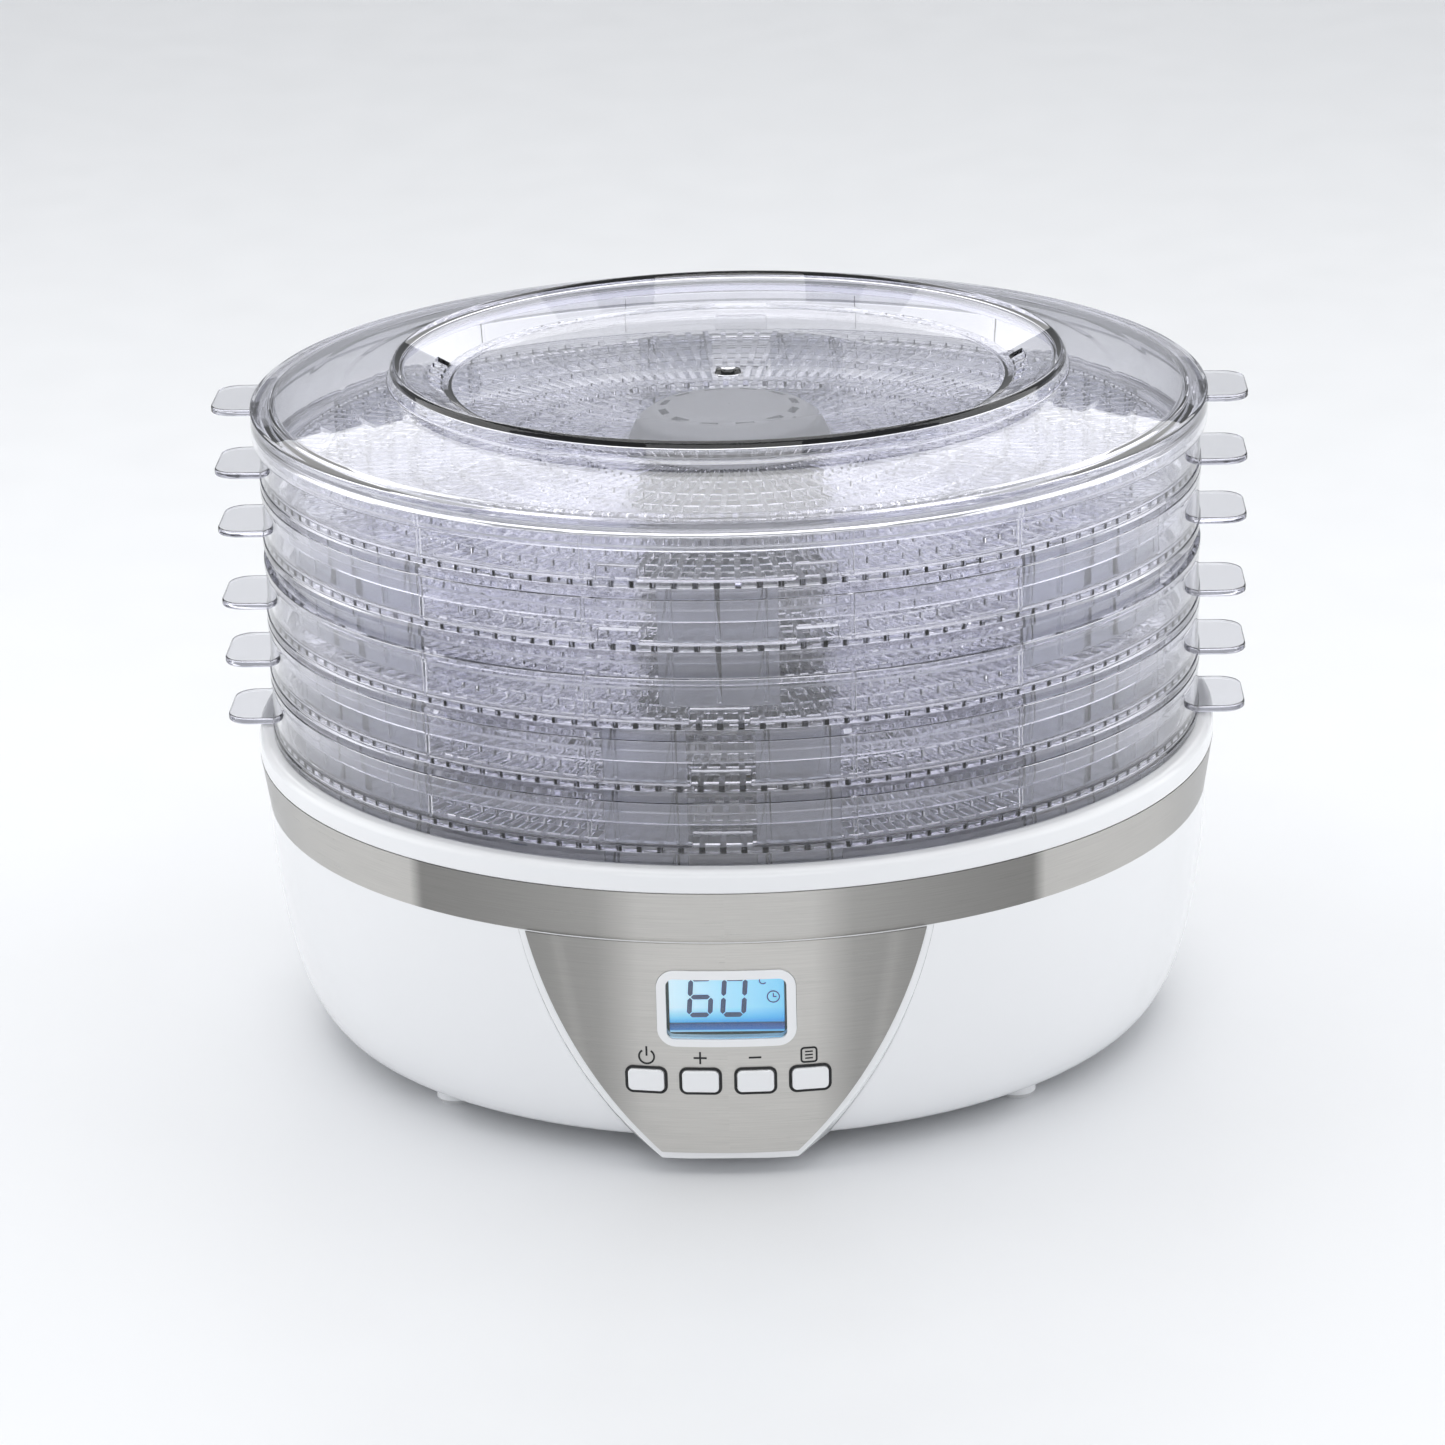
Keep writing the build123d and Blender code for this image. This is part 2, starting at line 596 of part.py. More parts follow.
def tray():
    """Tray whose wall stands on z = 0; its skirt and stacking lugs hang below."""
    top = PITCH_LOW - AIR
    floor = FLOOR_RISE
    inner = TRAY_R - TRAY_WALL
    skirt_in = SKIRT_R - SKIRT_WALL
    body = lathe((TRAY_R, 0), (TRAY_R, top), (inner, top), (inner, floor), (HUB_FOOT_R, floor),
                 (HUB_TOP_R, floor + HUB_RISE), (0, floor + HUB_RISE), (0, floor + HUB_RISE - FLOOR_T),
                 (HUB_TOP_R - 1.6, floor + HUB_RISE - FLOOR_T), (HUB_FOOT_R - 2.1, floor - FLOOR_T),
                 (skirt_in, floor - FLOOR_T), (skirt_in, -SKIRT_DROP), (SKIRT_R, -SKIRT_DROP),
                 (SKIRT_R, 0))
    openings = [extrude(Pos(0, 0, floor - FLOOR_T - 1) * sketch, amount=FLOOR_T + 2)
                for sketch in grid_windows()]
    vents = ring_of(12, 22, Pos(0, 0, floor + HUB_RISE - 1) * Box(6, 3, 4))
    body = body - openings - vents

    lug_foot = AIR + FLOOR_RISE - PITCH_LOW
    step = PITCH_HIGH - PITCH_LOW
    lug = ((skirt_in, lug_foot), (SKIRT_R, lug_foot), (SKIRT_R, -2), (skirt_in, -2))
    lugs = [sector(0, LUG_WIDE, *lug), sector(180, LUG_NARROW, *lug)]
    lugs += [sector(bearing, LUG_SIDE, *lug) for bearing in SIDE_LUG_BEARINGS]
    notch = sector(0, BLOCK_ARC + 1, (150, lug_foot - 1), (160, lug_foot - 1),
                   (160, lug_foot + step), (150, lug_foot + step))
    stop = ((skirt_in - 1, floor - 0.5), (inner + 1, floor - 0.5), (inner + 1, floor + step),
            (skirt_in - 1, floor + step))
    stops = [sector(0, BLOCK_ARC, *stop)]
    stops += [sector(180 + side * BLOCK_BEARING, BLOCK_ARC - 2, *stop) for side in (-1, 1)]
    return (body + lugs - notch + stops + side_tabs(0, TRAY_R)).solids()[0]


def lid():
    land = TRAY_SEATS["tray_1"] + PITCH_LOW
    skirt_in = TRAY_R + 0.6
    ledge = 154.6
    dome = ThreePointArc((LID_R - 1, LID_EDGE_Z), (137, LID_EDGE_Z + 3.9), (RING_R + 1.8, LID_EDGE_Z + 6.6))
    inside = ThreePointArc((ledge, LID_EDGE_Z - 1.6), (135, LID_EDGE_Z + 1.7),
                           (RING_R - 0.6, LID_EDGE_Z + 4.4))
    crest = Polyline((RING_R + 1.8, LID_EDGE_Z + 6.6), (RING_R + 1.1, RING_Z - 0.7), (RING_R, RING_Z),
                     (RING_R - 1.3, RING_Z - 0.6), (RECESS_R + 0.6, RECESS_Z), (0, RECESS_Z + 1),
                     (0, RECESS_Z + 1 - LID_T), (RECESS_R, RECESS_Z - LID_T),
                     (RING_R - 2.2, RING_Z - 3.2), (RING_R - 0.9, RING_Z - 3.2),
                     (RING_R - 0.6, LID_EDGE_Z + 4.4))
    edge = Polyline((ledge, LID_EDGE_Z - 1.6), (ledge, land), (skirt_in, land), (skirt_in, LID_SKIRT_Z),
                    (LID_R, LID_SKIRT_Z), (LID_R, LID_EDGE_Z - 1), (LID_R - 1, LID_EDGE_Z))
    body = revolve(Plane.XZ * make_face([dome, crest, inside, edge]), Axis.Z)
    body += Pos(0, 0, RECESS_Z + 0.5) * fillet(Cylinder(4, 3).edges().group_by(Axis.Z)[-1], 1.2)
    vents = [at_bearing(bearing, block(-2.4, 2.4, -101, -96, RECESS_Z - 4, RECESS_Z + 14))
             for side in (90, 270) for bearing in (side - 9, side - 4.5, side, side + 4.5, side + 9)]
    return body - vents + side_tabs(LID_EDGE_Z - 4.0, LID_R)


# ---- write the nodes -------------------------------------------------------
def save(node, shape):
    solids = ShapeList()
    for piece in shape if isinstance(shape, (list, tuple)) else [shape]:
        solids += piece.solids()
    export_step(solids[0] if len(solids) == 1 else Compound(children=list(solids)), f"parts/{node}.step")


save("base_bowl", base_bowl())
save("bottom_cover", bottom_cover())
save("cover_screws", screw_ring(COVER_SCREWS, Pos(0, 0, BOWL_Z0) * screw_up(4.4)))
save("feet", feet())
save("foot_pads", foot_pads())
save("steel_band", steel_band())
save("rim_ring", rim_ring())
save("top_deck", top_deck())
save("deck_screws", screw_ring(DECK_SCREWS, Pos(0, 0, DECK_TOP - SCREW_SINK) * screw_down(12, head_t=1.1)))
save("air_grille", air_grille())
save("control_pod", control_pod() + board_pillars())
save("steel_fascia", steel_fascia())
save("display_bezel", display_bezel())
save("display_window", display_window())
save("lcd_module", lcd_module())
save("lcd_backlight", lcd_backlight())
for name in BUTTON_ARCS:
    save(f"button_{name}", button(name))
save("button_surrounds", button_surrounds())
save("button_switches", button_switches())
save("control_board", control_board())
save("control_board_screws", board_screws())
save("motor_bracket", motor_bracket())
save("motor_screws",
     ring_of(BRACKET_SCREWS, POST_RING_R, Pos(0, 0, BRACKET_Z + BRACKET_T) * screw_down(9), 60))
save("motor_can", motor_can())
save("motor_bushes", motor_bushes())
save("motor_stator", motor_stator())
save("motor_rotor", motor_rotor())
save("fan_shaft", fan_shaft())
save("fan_impeller", fan_impeller())
save("fan_nut", fan_nut())
save("air_duct", air_duct())
save("heater_element", heater_element())
save("heater_frame", heater_frame())
save("thermal_cutout", thermal_cutout())
save("temperature_sensor", temperature_sensor())
save("power_board", power_board())
save("power_transformer", power_transformer())
save("power_relay", power_relay())
save("power_capacitor", power_capacitor())
save("mains_terminals", mains_terminals())
save("power_board_screws", power_board_screws())
save("cable_inlet", cable_inlet())
one_tray = tray()
for node, seat in TRAY_SEATS.items():
    save(node, Pos(0, 0, seat) * at_bearing(180 if node in TURNED_TRAYS else 0, one_tray))
save("lid", lid())
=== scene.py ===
"""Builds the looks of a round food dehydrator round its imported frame, as a set of operators."""

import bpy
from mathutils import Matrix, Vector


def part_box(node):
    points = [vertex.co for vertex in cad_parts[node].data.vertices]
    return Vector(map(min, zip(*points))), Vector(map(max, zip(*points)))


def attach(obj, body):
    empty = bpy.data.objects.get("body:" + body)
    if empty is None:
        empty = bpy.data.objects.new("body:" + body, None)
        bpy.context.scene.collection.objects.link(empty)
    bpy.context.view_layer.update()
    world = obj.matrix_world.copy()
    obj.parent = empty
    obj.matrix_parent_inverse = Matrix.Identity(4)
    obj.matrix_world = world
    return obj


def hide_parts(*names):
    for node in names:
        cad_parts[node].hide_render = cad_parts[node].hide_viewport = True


bl_info = {
    "name": "Food dehydrator",
    "version": (1, 0, 0),
    "blender": (4, 5, 0),
    "location": "View3D > Sidebar > Dehydrator",
    "description": "Builds the trays, lid, controls, finishes and stage of a round food dehydrator",
    "category": "Add Mesh",
}

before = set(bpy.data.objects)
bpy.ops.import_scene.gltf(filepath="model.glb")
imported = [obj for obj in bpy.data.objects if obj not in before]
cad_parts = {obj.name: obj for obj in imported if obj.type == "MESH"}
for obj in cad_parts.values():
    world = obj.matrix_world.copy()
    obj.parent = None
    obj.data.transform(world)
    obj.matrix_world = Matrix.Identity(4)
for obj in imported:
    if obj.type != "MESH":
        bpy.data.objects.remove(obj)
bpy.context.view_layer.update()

import math

import bmesh
import bpy
from mathutils import Matrix, Vector

MM = 0.001
TURNED_TRAYS = ("tray_1", "tray_2")
BUTTONS = ("power", "plus", "minus", "menu")

TRAY_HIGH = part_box("tray_3")[1]
LID_LOW, LID_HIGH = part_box("lid")
BAND_LOW, BAND_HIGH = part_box("steel_band")
FASCIA_LOW, FASCIA_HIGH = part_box("steel_fascia")
SCREEN_LOW, SCREEN_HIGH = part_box("lcd_module")

# Edges of the tray floor's rings and of the gaps between them, from the hub out, in mm
FLOOR_RINGS = (33.2, 36.2, 49.0, 50.8, 63.5, 65.3, 78.0, 79.8, 92.5, 94.3, 107.0, 108.8,
               121.5, 123.3, 136.0, 137.8, 149.0, 150.8)
SIDE_LUGS = (52, 128, 232, 308)
TAB_THICKNESS = 2.3 * MM

# Panel marks: height of the buttons' upper edge, width of a printed line, lean of the digits
BUTTON_TOP = 37.1 * MM
STROKE = 0.62 * MM
DIGIT_LEAN = 0.07
DIGIT_BARS = {"a": (0, 1, False), "b": (1, 0.5, True), "c": (1, -0.5, True), "d": (0, -1, False),
              "e": (-1, -0.5, True), "f": (-1, 0.5, True), "g": (0, 0, False)}

# Painted reflection on the steel: share of the band's radius out from its middle, and how bright
# the painted light and shade leave the steel there
PAINTED_REFLECTION_BANDS = ((0.0, 1.0), (0.17, 1.0), (0.25, 0.72), (0.6, 0.42), (0.625, 0.95), (0.86, 0.85),
               (1.0, 0.62))

# Name, place, aim, width and height in metres, and watts of each soft light
SOFT_LIGHTS = (
    ("top_panel", (0, 0.0, 1.7), (0, 0, 0), 1.8, 1.6, 17),
    ("front_panel", (0, -2.4, 0.95), (0, 0, 0.2), 2.3, 1.7, 15),
    ("left_panel", (-1.6, 0.25, 0.85), (0, 0, 0.2), 1.7, 1.6, 12),
    ("right_panel", (1.6, 0.25, 0.85), (0, 0, 0.2), 1.7, 1.6, 12),
    ("back_panel", (0, 4.2, 3.0), (0, 3.2, 0), 6.0, 3.5, 90),
)
CAMERA_AIM = Vector((0, 0, 0.0989))
CAMERA_DISTANCE = 1.7035
CAMERA_RIGHT = Vector((0.99972, -0.007675, -0.022366))
CAMERA_FORWARD = Vector((0.0, 0.945854, -0.324592))
CAMERA_TURN = math.radians(1.9)
CAMERA_LENS = 123.5
CAMERA_SHIFT = -0.0096


# ---- sizes and colours that a user would change ----------------------------
class DehydratorTraySizes(bpy.types.PropertyGroup):
    """Sizes of one stacking tray; heights count from the seat on which its wall stands."""

    wall_radius: bpy.props.FloatProperty(
        name="Wall radius", description="Outside of the tray's wall",
        default=TRAY_HIGH.y, unit="LENGTH")
    wall_height: bpy.props.FloatProperty(
        name="Wall height", description="From the seat to the rim",
        default=20.2 * MM, unit="LENGTH")
    wall_thickness: bpy.props.FloatProperty(
        name="Wall thickness", description="Moulded wall of the tray",
        default=2.2 * MM, unit="LENGTH")
    floor_top: bpy.props.FloatProperty(
        name="Floor height", description="Upper face of the grid floor",
        default=4.7 * MM, unit="LENGTH")
    floor_thickness: bpy.props.FloatProperty(
        name="Floor thickness", description="Depth of the floor's bars",
        default=2.0 * MM, unit="LENGTH")
    skirt_radius: bpy.props.FloatProperty(
        name="Skirt radius", description="Outside of the skirt that hangs in the tray below",
        default=155.6 * MM, unit="LENGTH")
    skirt_drop: bpy.props.FloatProperty(
        name="Skirt drop", description="How far the skirt hangs below the seat",
        default=8 * MM, unit="LENGTH")
    lug_drop: bpy.props.FloatProperty(
        name="Lug drop", description="How far the stacking lugs hang below the seat",
        default=15.5 * MM, unit="LENGTH")
    bar_width: bpy.props.FloatProperty(
        name="Bar width", description="Width of the floor's radial bars",
        default=1.9 * MM, unit="LENGTH")
    bars: bpy.props.IntProperty(
        name="Radial bars", description="Radial bars in the outer part of the floor", default=144)
    tab_reach: bpy.props.FloatProperty(
        name="Tab reach", description="From the axis to the tip of a finger tab",
        default=TRAY_HIGH.x, unit="LENGTH")
    tab_width: bpy.props.FloatProperty(
        name="Tab width", description="Width of a finger tab", default=33 * MM, unit="LENGTH")
    hub_radius: bpy.props.FloatProperty(
        name="Hub radius", description="Foot of the air hub in the middle of the tray",
        default=34.5 * MM, unit="LENGTH")
    hub_height: bpy.props.FloatProperty(
        name="Hub height", description="How far the hub stands above the floor",
        default=12.8 * MM, unit="LENGTH")


class DehydratorColours(bpy.types.PropertyGroup):
    """Colours of the main finishes, as sRGB hex codes."""

    casing: bpy.props.StringProperty(
        name="Casing", description="Gloss white of the casing", default="F3F4F6")
    steel: bpy.props.StringProperty(
        name="Steel", description="Brushed stainless band and panel", default="C9C7C3")
    clear: bpy.props.StringProperty(
        name="Clear plastic", description="Body colour of the clear trays", default="FAFAFD")
    clear_depth: bpy.props.StringProperty(
        name="Clear plastic depth", description="Tint that gathers where the clear plastic is deep",
        default="B4B4F0")
    screen: bpy.props.StringProperty(
        name="Screen", description="Backlight of the display", default="8FDCF8")
    print_black: bpy.props.StringProperty(
        name="Print", description="Printed symbols on the panel", default="17181A")


# ---- small tools -----------------------------------------------------------
def linear(hex_code, alpha=1.0):
    """sRGB hex colour as linear RGBA."""
    channels = [int(hex_code[i:i + 2], 16) / 255 for i in (0, 2, 4)]
    return tuple(c / 12.92 if c <= 0.04045 else ((c + 0.055) / 1.055) ** 2.4
                 for c in channels) + (alpha,)


def add_node(tree, kind, inputs=(), links=(), **settings):
    """One node with its settings, its fixed inputs and the sockets that feed it."""
    node = tree.nodes.new(kind)
    for name, value in settings.items():
        setattr(node, name, value)
    for name, value in dict(inputs).items():
        node.inputs[name].default_value = value
    for name, socket in dict(links).items():
        tree.links.new(socket, node.inputs[name])
    return node


def start_material(name, colour, **sockets):
    """A material with one Principled shader; sockets are its fixed values."""
    material = bpy.data.materials.new(name)
    material.use_nodes = True
    tree = material.node_tree
    shader = tree.nodes["Principled BSDF"]
    shader.inputs["Base Color"].default_value = linear(colour)
    for socket, value in sockets.items():
        shader.inputs[socket.replace("_", " ").title().replace("Ior", "IOR")].default_value = value
    return material, tree, shader


def rounded(outline, radius, steps=3):
    """The closed outline with each corner eased over the radius by a short curve."""
    eased = []
    count = len(outline)
    for i, corner in enumerate(outline):
        here = Vector(corner)
        before, after = Vector(outline[i - 1]) - here, Vector(outline[(i + 1) % count]) - here
        reach = min(radius, before.length * 0.45, after.length * 0.45)
        start, end = here + before.normalized() * reach, here + after.normalized() * reach
        for k in range(steps + 1):
            t = k / steps
            eased.append(tuple(start * (1 - t) ** 2 + here * 2 * t * (1 - t) + end * t ** 2))
    return eased


def lathe(outline, steps=240):
    """Mesh of an outline of (radius, height) points spun once round Z."""
    mesh = bmesh.new()
    points = [mesh.verts.new((r, 0, z)) for r, z in outline]
    loop = [mesh.edges.new((points[i - 1], points[i])) for i in range(len(points))]
    bmesh.ops.spin(mesh, geom=points + loop, cent=(0, 0, 0), axis=(0, 0, 1),
                   angle=2 * math.pi, steps=steps, use_merge=True)
    bmesh.ops.remove_doubles(mesh, verts=mesh.verts, dist=1e-6)
    bmesh.ops.recalc_face_normals(mesh, faces=mesh.faces)
    return mesh


def bearing_matrix(bearing):
    """Turns what is made at the front to a bearing in degrees, positive towards +X."""
    return Matrix.Rotation(math.radians(bearing), 4, "Z")


def box_at(mesh, bearing, radius, size, height):
    """Adds a box to the mesh: size is across, inwards and up; the rest place its middle."""
    place = (bearing_matrix(bearing) @ Matrix.Translation((0, -radius, height))
             @ Matrix.Diagonal((*size, 1)))
    bmesh.ops.create_cube(mesh, size=1.0, matrix=place)


def arc_panel(mesh, bearing, arc, r_in, r_out, z_low, z_high):
    """Adds a curved panel to the mesh, arc degrees wide and centred on the bearing."""
    start = bearing_matrix(bearing - arc / 2) @ Matrix.Rotation(math.radians(-90), 4, "Z")
    corners = [mesh.verts.new(start @ Vector((r, 0, z)))
               for r, z in ((r_in, z_low), (r_out, z_low), (r_out, z_high), (r_in, z_high))]
    face = mesh.faces.new(corners)
    bmesh.ops.spin(mesh, geom=[face, *face.edges, *corners], cent=(0, 0, 0), axis=(0, 0, 1),
                   angle=math.radians(arc), steps=max(2, round(arc / 1.5)), use_merge=False)


def to_object(mesh, name, smooth_below=32.0):
    """Turns a bmesh into an object at the origin, its soft edges smooth and its normals outward."""
    bmesh.ops.recalc_face_normals(mesh, faces=mesh.faces)
    for face in mesh.faces:
        face.smooth = True
    for edge in mesh.edges:
        edge.smooth = edge.calc_face_angle(0.0) < math.radians(smooth_below)
    data = bpy.data.meshes.new(name)
    mesh.to_mesh(data)
    mesh.free()
    piece = bpy.data.objects.new(name, data)
    bpy.context.scene.collection.objects.link(piece)
    return piece


def combine(base, operation, *others):
    """Joins or cuts closed meshes; base and others are bmeshes, and a clean bmesh comes back."""
    body = to_object(base, "work_body")
    tools = [to_object(other, "work_tool") for other in others]
    for tool in tools:
        step = body.modifiers.new("step", "BOOLEAN")
        step.object, step.operation, step.solver = tool, operation, "MANIFOLD"
    depsgraph = bpy.context.evaluated_depsgraph_get()
    data = bpy.data.meshes.new_from_object(body.evaluated_get(depsgraph))
    result = bmesh.new()
    result.from_mesh(data)
    for done in (body, *tools):
        bpy.data.meshes.remove(done.data)
    bpy.data.meshes.remove(data)
    if not result.faces:
        raise RuntimeError("joining the meshes left nothing")
    return result


def finish_piece(piece, material, body, slot, *replaced):
    """Gives a finished piece its material and the body it rides on, and hides the nodes it stands
    for.
    """
    piece.data.materials.clear()
    piece.data.materials.append(material)
    # Flat walls keep flat normals beside their small rounded corners
    even = piece.modifiers.new("even_normals", "WEIGHTED_NORMAL")
    even.keep_sharp = True
    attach(piece, body)
    if replaced:
        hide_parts(*replaced)
    return piece


def moved(mesh, matrix):
    """A copy of the bmesh, moved."""
    copy = mesh.copy()
    bmesh.ops.transform(copy, matrix=matrix, verts=copy.verts)
    return copy


# ---- finishes --------------------------------------------------------------
def turned_coordinates(tree):
    """Arc length round Z and height, in metres, for patterns that follow a turning."""
    place = add_node(tree, "ShaderNodeTexCoord")
    split = add_node(tree, "ShaderNodeSeparateXYZ", links={"Vector": place.outputs["Object"]})
    angle = add_node(tree, "ShaderNodeMath", operation="ARCTAN2",
                     links={0: split.outputs["X"], 1: split.outputs["Y"]})
    arc = add_node(tree, "ShaderNodeMath", inputs={1: 160 * MM}, links={0: angle.outputs[0]},
                   operation="MULTIPLY")
    return add_node(tree, "ShaderNodeCombineXYZ",
                    links={"X": arc.outputs[0], "Z": split.outputs["Z"]})


def gloss_abs(colour):
    """Injection-moulded ABS with a polished mould face: even white with a faint soft ripple."""
    material, tree, shader = start_material("gloss_abs", colour, roughness=0.16, ior=1.53)
    place = add_node(tree, "ShaderNodeTexCoord")
    flow = add_node(tree, "ShaderNodeTexNoise", inputs={"Scale": 1 / (28 * MM), "Detail": 2.0},
                    links={"Vector": place.outputs["Object"]})
    gloss = add_node(tree, "ShaderNodeMapRange", links={"Value": flow.outputs["Fac"]},
                     inputs={"To Min": 0.12, "To Max": 0.22})
    tree.links.new(gloss.outputs["Result"], shader.inputs["Roughness"])
    ripple = add_node(tree, "ShaderNodeTexNoise", inputs={"Scale": 1 / (2.2 * MM), "Detail": 1.0},
                      links={"Vector": place.outputs["Object"]})
    bump = add_node(tree, "ShaderNodeBump", inputs={"Strength": 0.05, "Distance": 0.02 * MM},
                    links={"Height": ripple.outputs["Fac"]})
    tree.links.new(bump.outputs["Normal"], shader.inputs["Normal"])
    return material


def brushed_stainless(colour):
    """Stainless brushed along its length: fine lines, and upright bands of painted reflected light
    and shade.
    """
    material, tree, shader = start_material(
        "brushed_stainless", colour, metallic=1.0, roughness=0.32, anisotropic=0.85,
        anisotropic_rotation=0.25)
    turn = turned_coordinates(tree)
    grain = add_node(tree, "ShaderNodeVectorMath", operation="MULTIPLY",
                     inputs={1: (1 / (26 * MM), 1.0, 1 / (0.4 * MM))}, links={0: turn.outputs[0]})
    lines = add_node(tree, "ShaderNodeTexNoise", links={"Vector": grain.outputs[0]},
                     inputs={"Scale": 1.0, "Detail": 4.0, "Roughness": 0.7})
    dull = add_node(tree, "ShaderNodeMapRange", links={"Value": lines.outputs["Fac"]},
                    inputs={"From Min": 0.3, "From Max": 0.7, "To Min": 0.26, "To Max": 0.42})
    tree.links.new(dull.outputs["Result"], shader.inputs["Roughness"])
    tone = add_node(tree, "ShaderNodeMapRange", links={"Value": lines.outputs["Fac"]},
                    inputs={"From Min": 0.25, "From Max": 0.75, "To Min": 0.86, "To Max": 1.08})
    # The brushing throws light up and down; the upright bands of light and shade as the sheet turns
    # away are painted reflection, fixed on the object across X
    place = add_node(tree, "ShaderNodeTexCoord")
    split = add_node(tree, "ShaderNodeSeparateXYZ", links={"Vector": place.outputs["Object"]})
    across = add_node(tree, "ShaderNodeMath", operation="ABSOLUTE", links={0: split.outputs["X"]})
    share = add_node(tree, "ShaderNodeMath", operation="DIVIDE", inputs={1: -BAND_LOW.y},
                     links={0: across.outputs[0]})
    painted_reflection_bands = add_node(tree, "ShaderNodeValToRGB", links={"Fac": share.outputs[0]})
    stops = painted_reflection_bands.color_ramp.elements
    for stop, (position, shade) in zip(stops, (PAINTED_REFLECTION_BANDS[0], PAINTED_REFLECTION_BANDS[-1])):
        stop.position, stop.color = position, (shade,) * 3 + (1,)
    for position, shade in PAINTED_REFLECTION_BANDS[1:-1]:
        stops.new(position).color = (shade,) * 3 + (1,)
    # Painted reflection: the bands darken or brighten the steel's base colour
    level = add_node(tree, "ShaderNodeMath", operation="MULTIPLY",
                     links={0: tone.outputs["Result"], 1: painted_reflection_bands.outputs["Color"]})
    base = add_node(tree, "ShaderNodeVectorMath", operation="SCALE", inputs={0: linear(colour)[:3]},
                    links={"Scale": level.outputs[0]})
    tree.links.new(base.outputs[0], shader.inputs["Base Color"])
    bump = add_node(tree, "ShaderNodeBump", inputs={"Strength": 0.1, "Distance": 0.02 * MM},
                    links={"Height": lines.outputs["Fac"]})
    tree.links.new(bump.outputs["Normal"], shader.inputs["Normal"])
    along = add_node(tree, "ShaderNodeTangent", direction_type="RADIAL", axis="Z")
    tree.links.new(along.outputs[0], shader.inputs["Tangent"])
    return material


def clear_san(colour, depth):
    """Clear moulded SAN: water-clear walls whose deep edges gather a faint violet blue."""
    material, tree, shader = start_material(
        "water_clear_san", colour, roughness=0.0, ior=1.57, transmission_weight=1.0)
    place = add_node(tree, "ShaderNodeTexCoord")
    flow = add_node(tree, "ShaderNodeTexNoise", inputs={"Scale": 1 / (14 * MM), "Detail": 1.0},
                    links={"Vector": place.outputs["Object"]})
    bump = add_node(tree, "ShaderNodeBump", inputs={"Strength": 0.03, "Distance": 0.1 * MM},
                    links={"Height": flow.outputs["Fac"]})
    tree.links.new(bump.outputs["Normal"], shader.inputs["Normal"])
    tint = add_node(tree, "ShaderNodeVolumeAbsorption",
                    inputs={"Color": linear(depth), "Density": 5.0})
    tree.links.new(tint.outputs[0], tree.nodes["Material Output"].inputs["Volume"])
    return material


def frosted_san(name, colour, roughness, transmission):
    """SAN moulded against a blasted face: milky, it passes light but little of the picture."""
    material, tree, shader = start_material(
        name, colour, roughness=roughness, ior=1.57, transmission_weight=transmission)
    place = add_node(tree, "ShaderNodeTexCoord")
    grit = add_node(tree, "ShaderNodeTexNoise", inputs={"Scale": 1 / (0.6 * MM), "Detail": 2.0},
                    links={"Vector": place.outputs["Object"]})
    bump = add_node(tree, "ShaderNodeBump", inputs={"Strength": 0.25, "Distance": 0.05 * MM},
                    links={"Height": grit.outputs["Fac"]})
    tree.links.new(bump.outputs["Normal"], shader.inputs["Normal"])
    return material


def clear_lens():
    """Polycarbonate window with a hard coat: clear, its gloss a little worn by wiping."""
    material, tree, shader = start_material(
        "polycarbonate_lens", "F4FAFF", ior=1.585, transmission_weight=1.0)
    place = add_node(tree, "ShaderNodeTexCoord")
    wipes = add_node(tree, "ShaderNodeTexNoise", inputs={"Scale": 1 / (3 * MM), "Detail": 2.0},
                     links={"Vector": place.outputs["Object"]})
    gloss = add_node(tree, "ShaderNodeMapRange", links={"Value": wipes.outputs["Fac"]},
                     inputs={"To Min": 0.0, "To Max": 0.04})
    tree.links.new(gloss.outputs["Result"], shader.inputs["Roughness"])
    return material


def grained(name, colour, grain_mm, roughness, metallic=0.0, contrast=0.12, bump_mm=0.03):
    """A plain part's finish: its colour and gloss vary over grains of a real size."""
    material, tree, shader = start_material(name, colour, metallic=metallic, roughness=roughness)
    place = add_node(tree, "ShaderNodeTexCoord")
    grain = add_node(tree, "ShaderNodeTexNoise", links={"Vector": place.outputs["Object"]},
                     inputs={"Scale": 1 / (grain_mm * MM), "Detail": 3.0})
    tone = add_node(tree, "ShaderNodeMapRange", links={"Value": grain.outputs["Fac"]},
                    inputs={"To Min": 1 - contrast, "To Max": 1 + contrast})
    base = add_node(tree, "ShaderNodeVectorMath", operation="SCALE", inputs={0: linear(colour)[:3]},
                    links={"Scale": tone.outputs["Result"]})
    tree.links.new(base.outputs[0], shader.inputs["Base Color"])
    gloss = add_node(tree, "ShaderNodeMapRange", links={"Value": grain.outputs["Fac"]},
                     inputs={"To Min": roughness * 0.8, "To Max": min(1.0, roughness * 1.2)})
    tree.links.new(gloss.outputs["Result"], shader.inputs["Roughness"])
    bump = add_node(tree, "ShaderNodeBump", inputs={"Strength": 0.3, "Distance": bump_mm * MM},
                    links={"Height": grain.outputs["Fac"]})
    tree.links.new(bump.outputs["Normal"], shader.inputs["Normal"])
    return material


def dress(material, *names):
    """Gives CAD nodes a finish."""
    for name in names:
        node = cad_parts[name]
        node.data.materials.clear()
        node.data.materials.append(material)


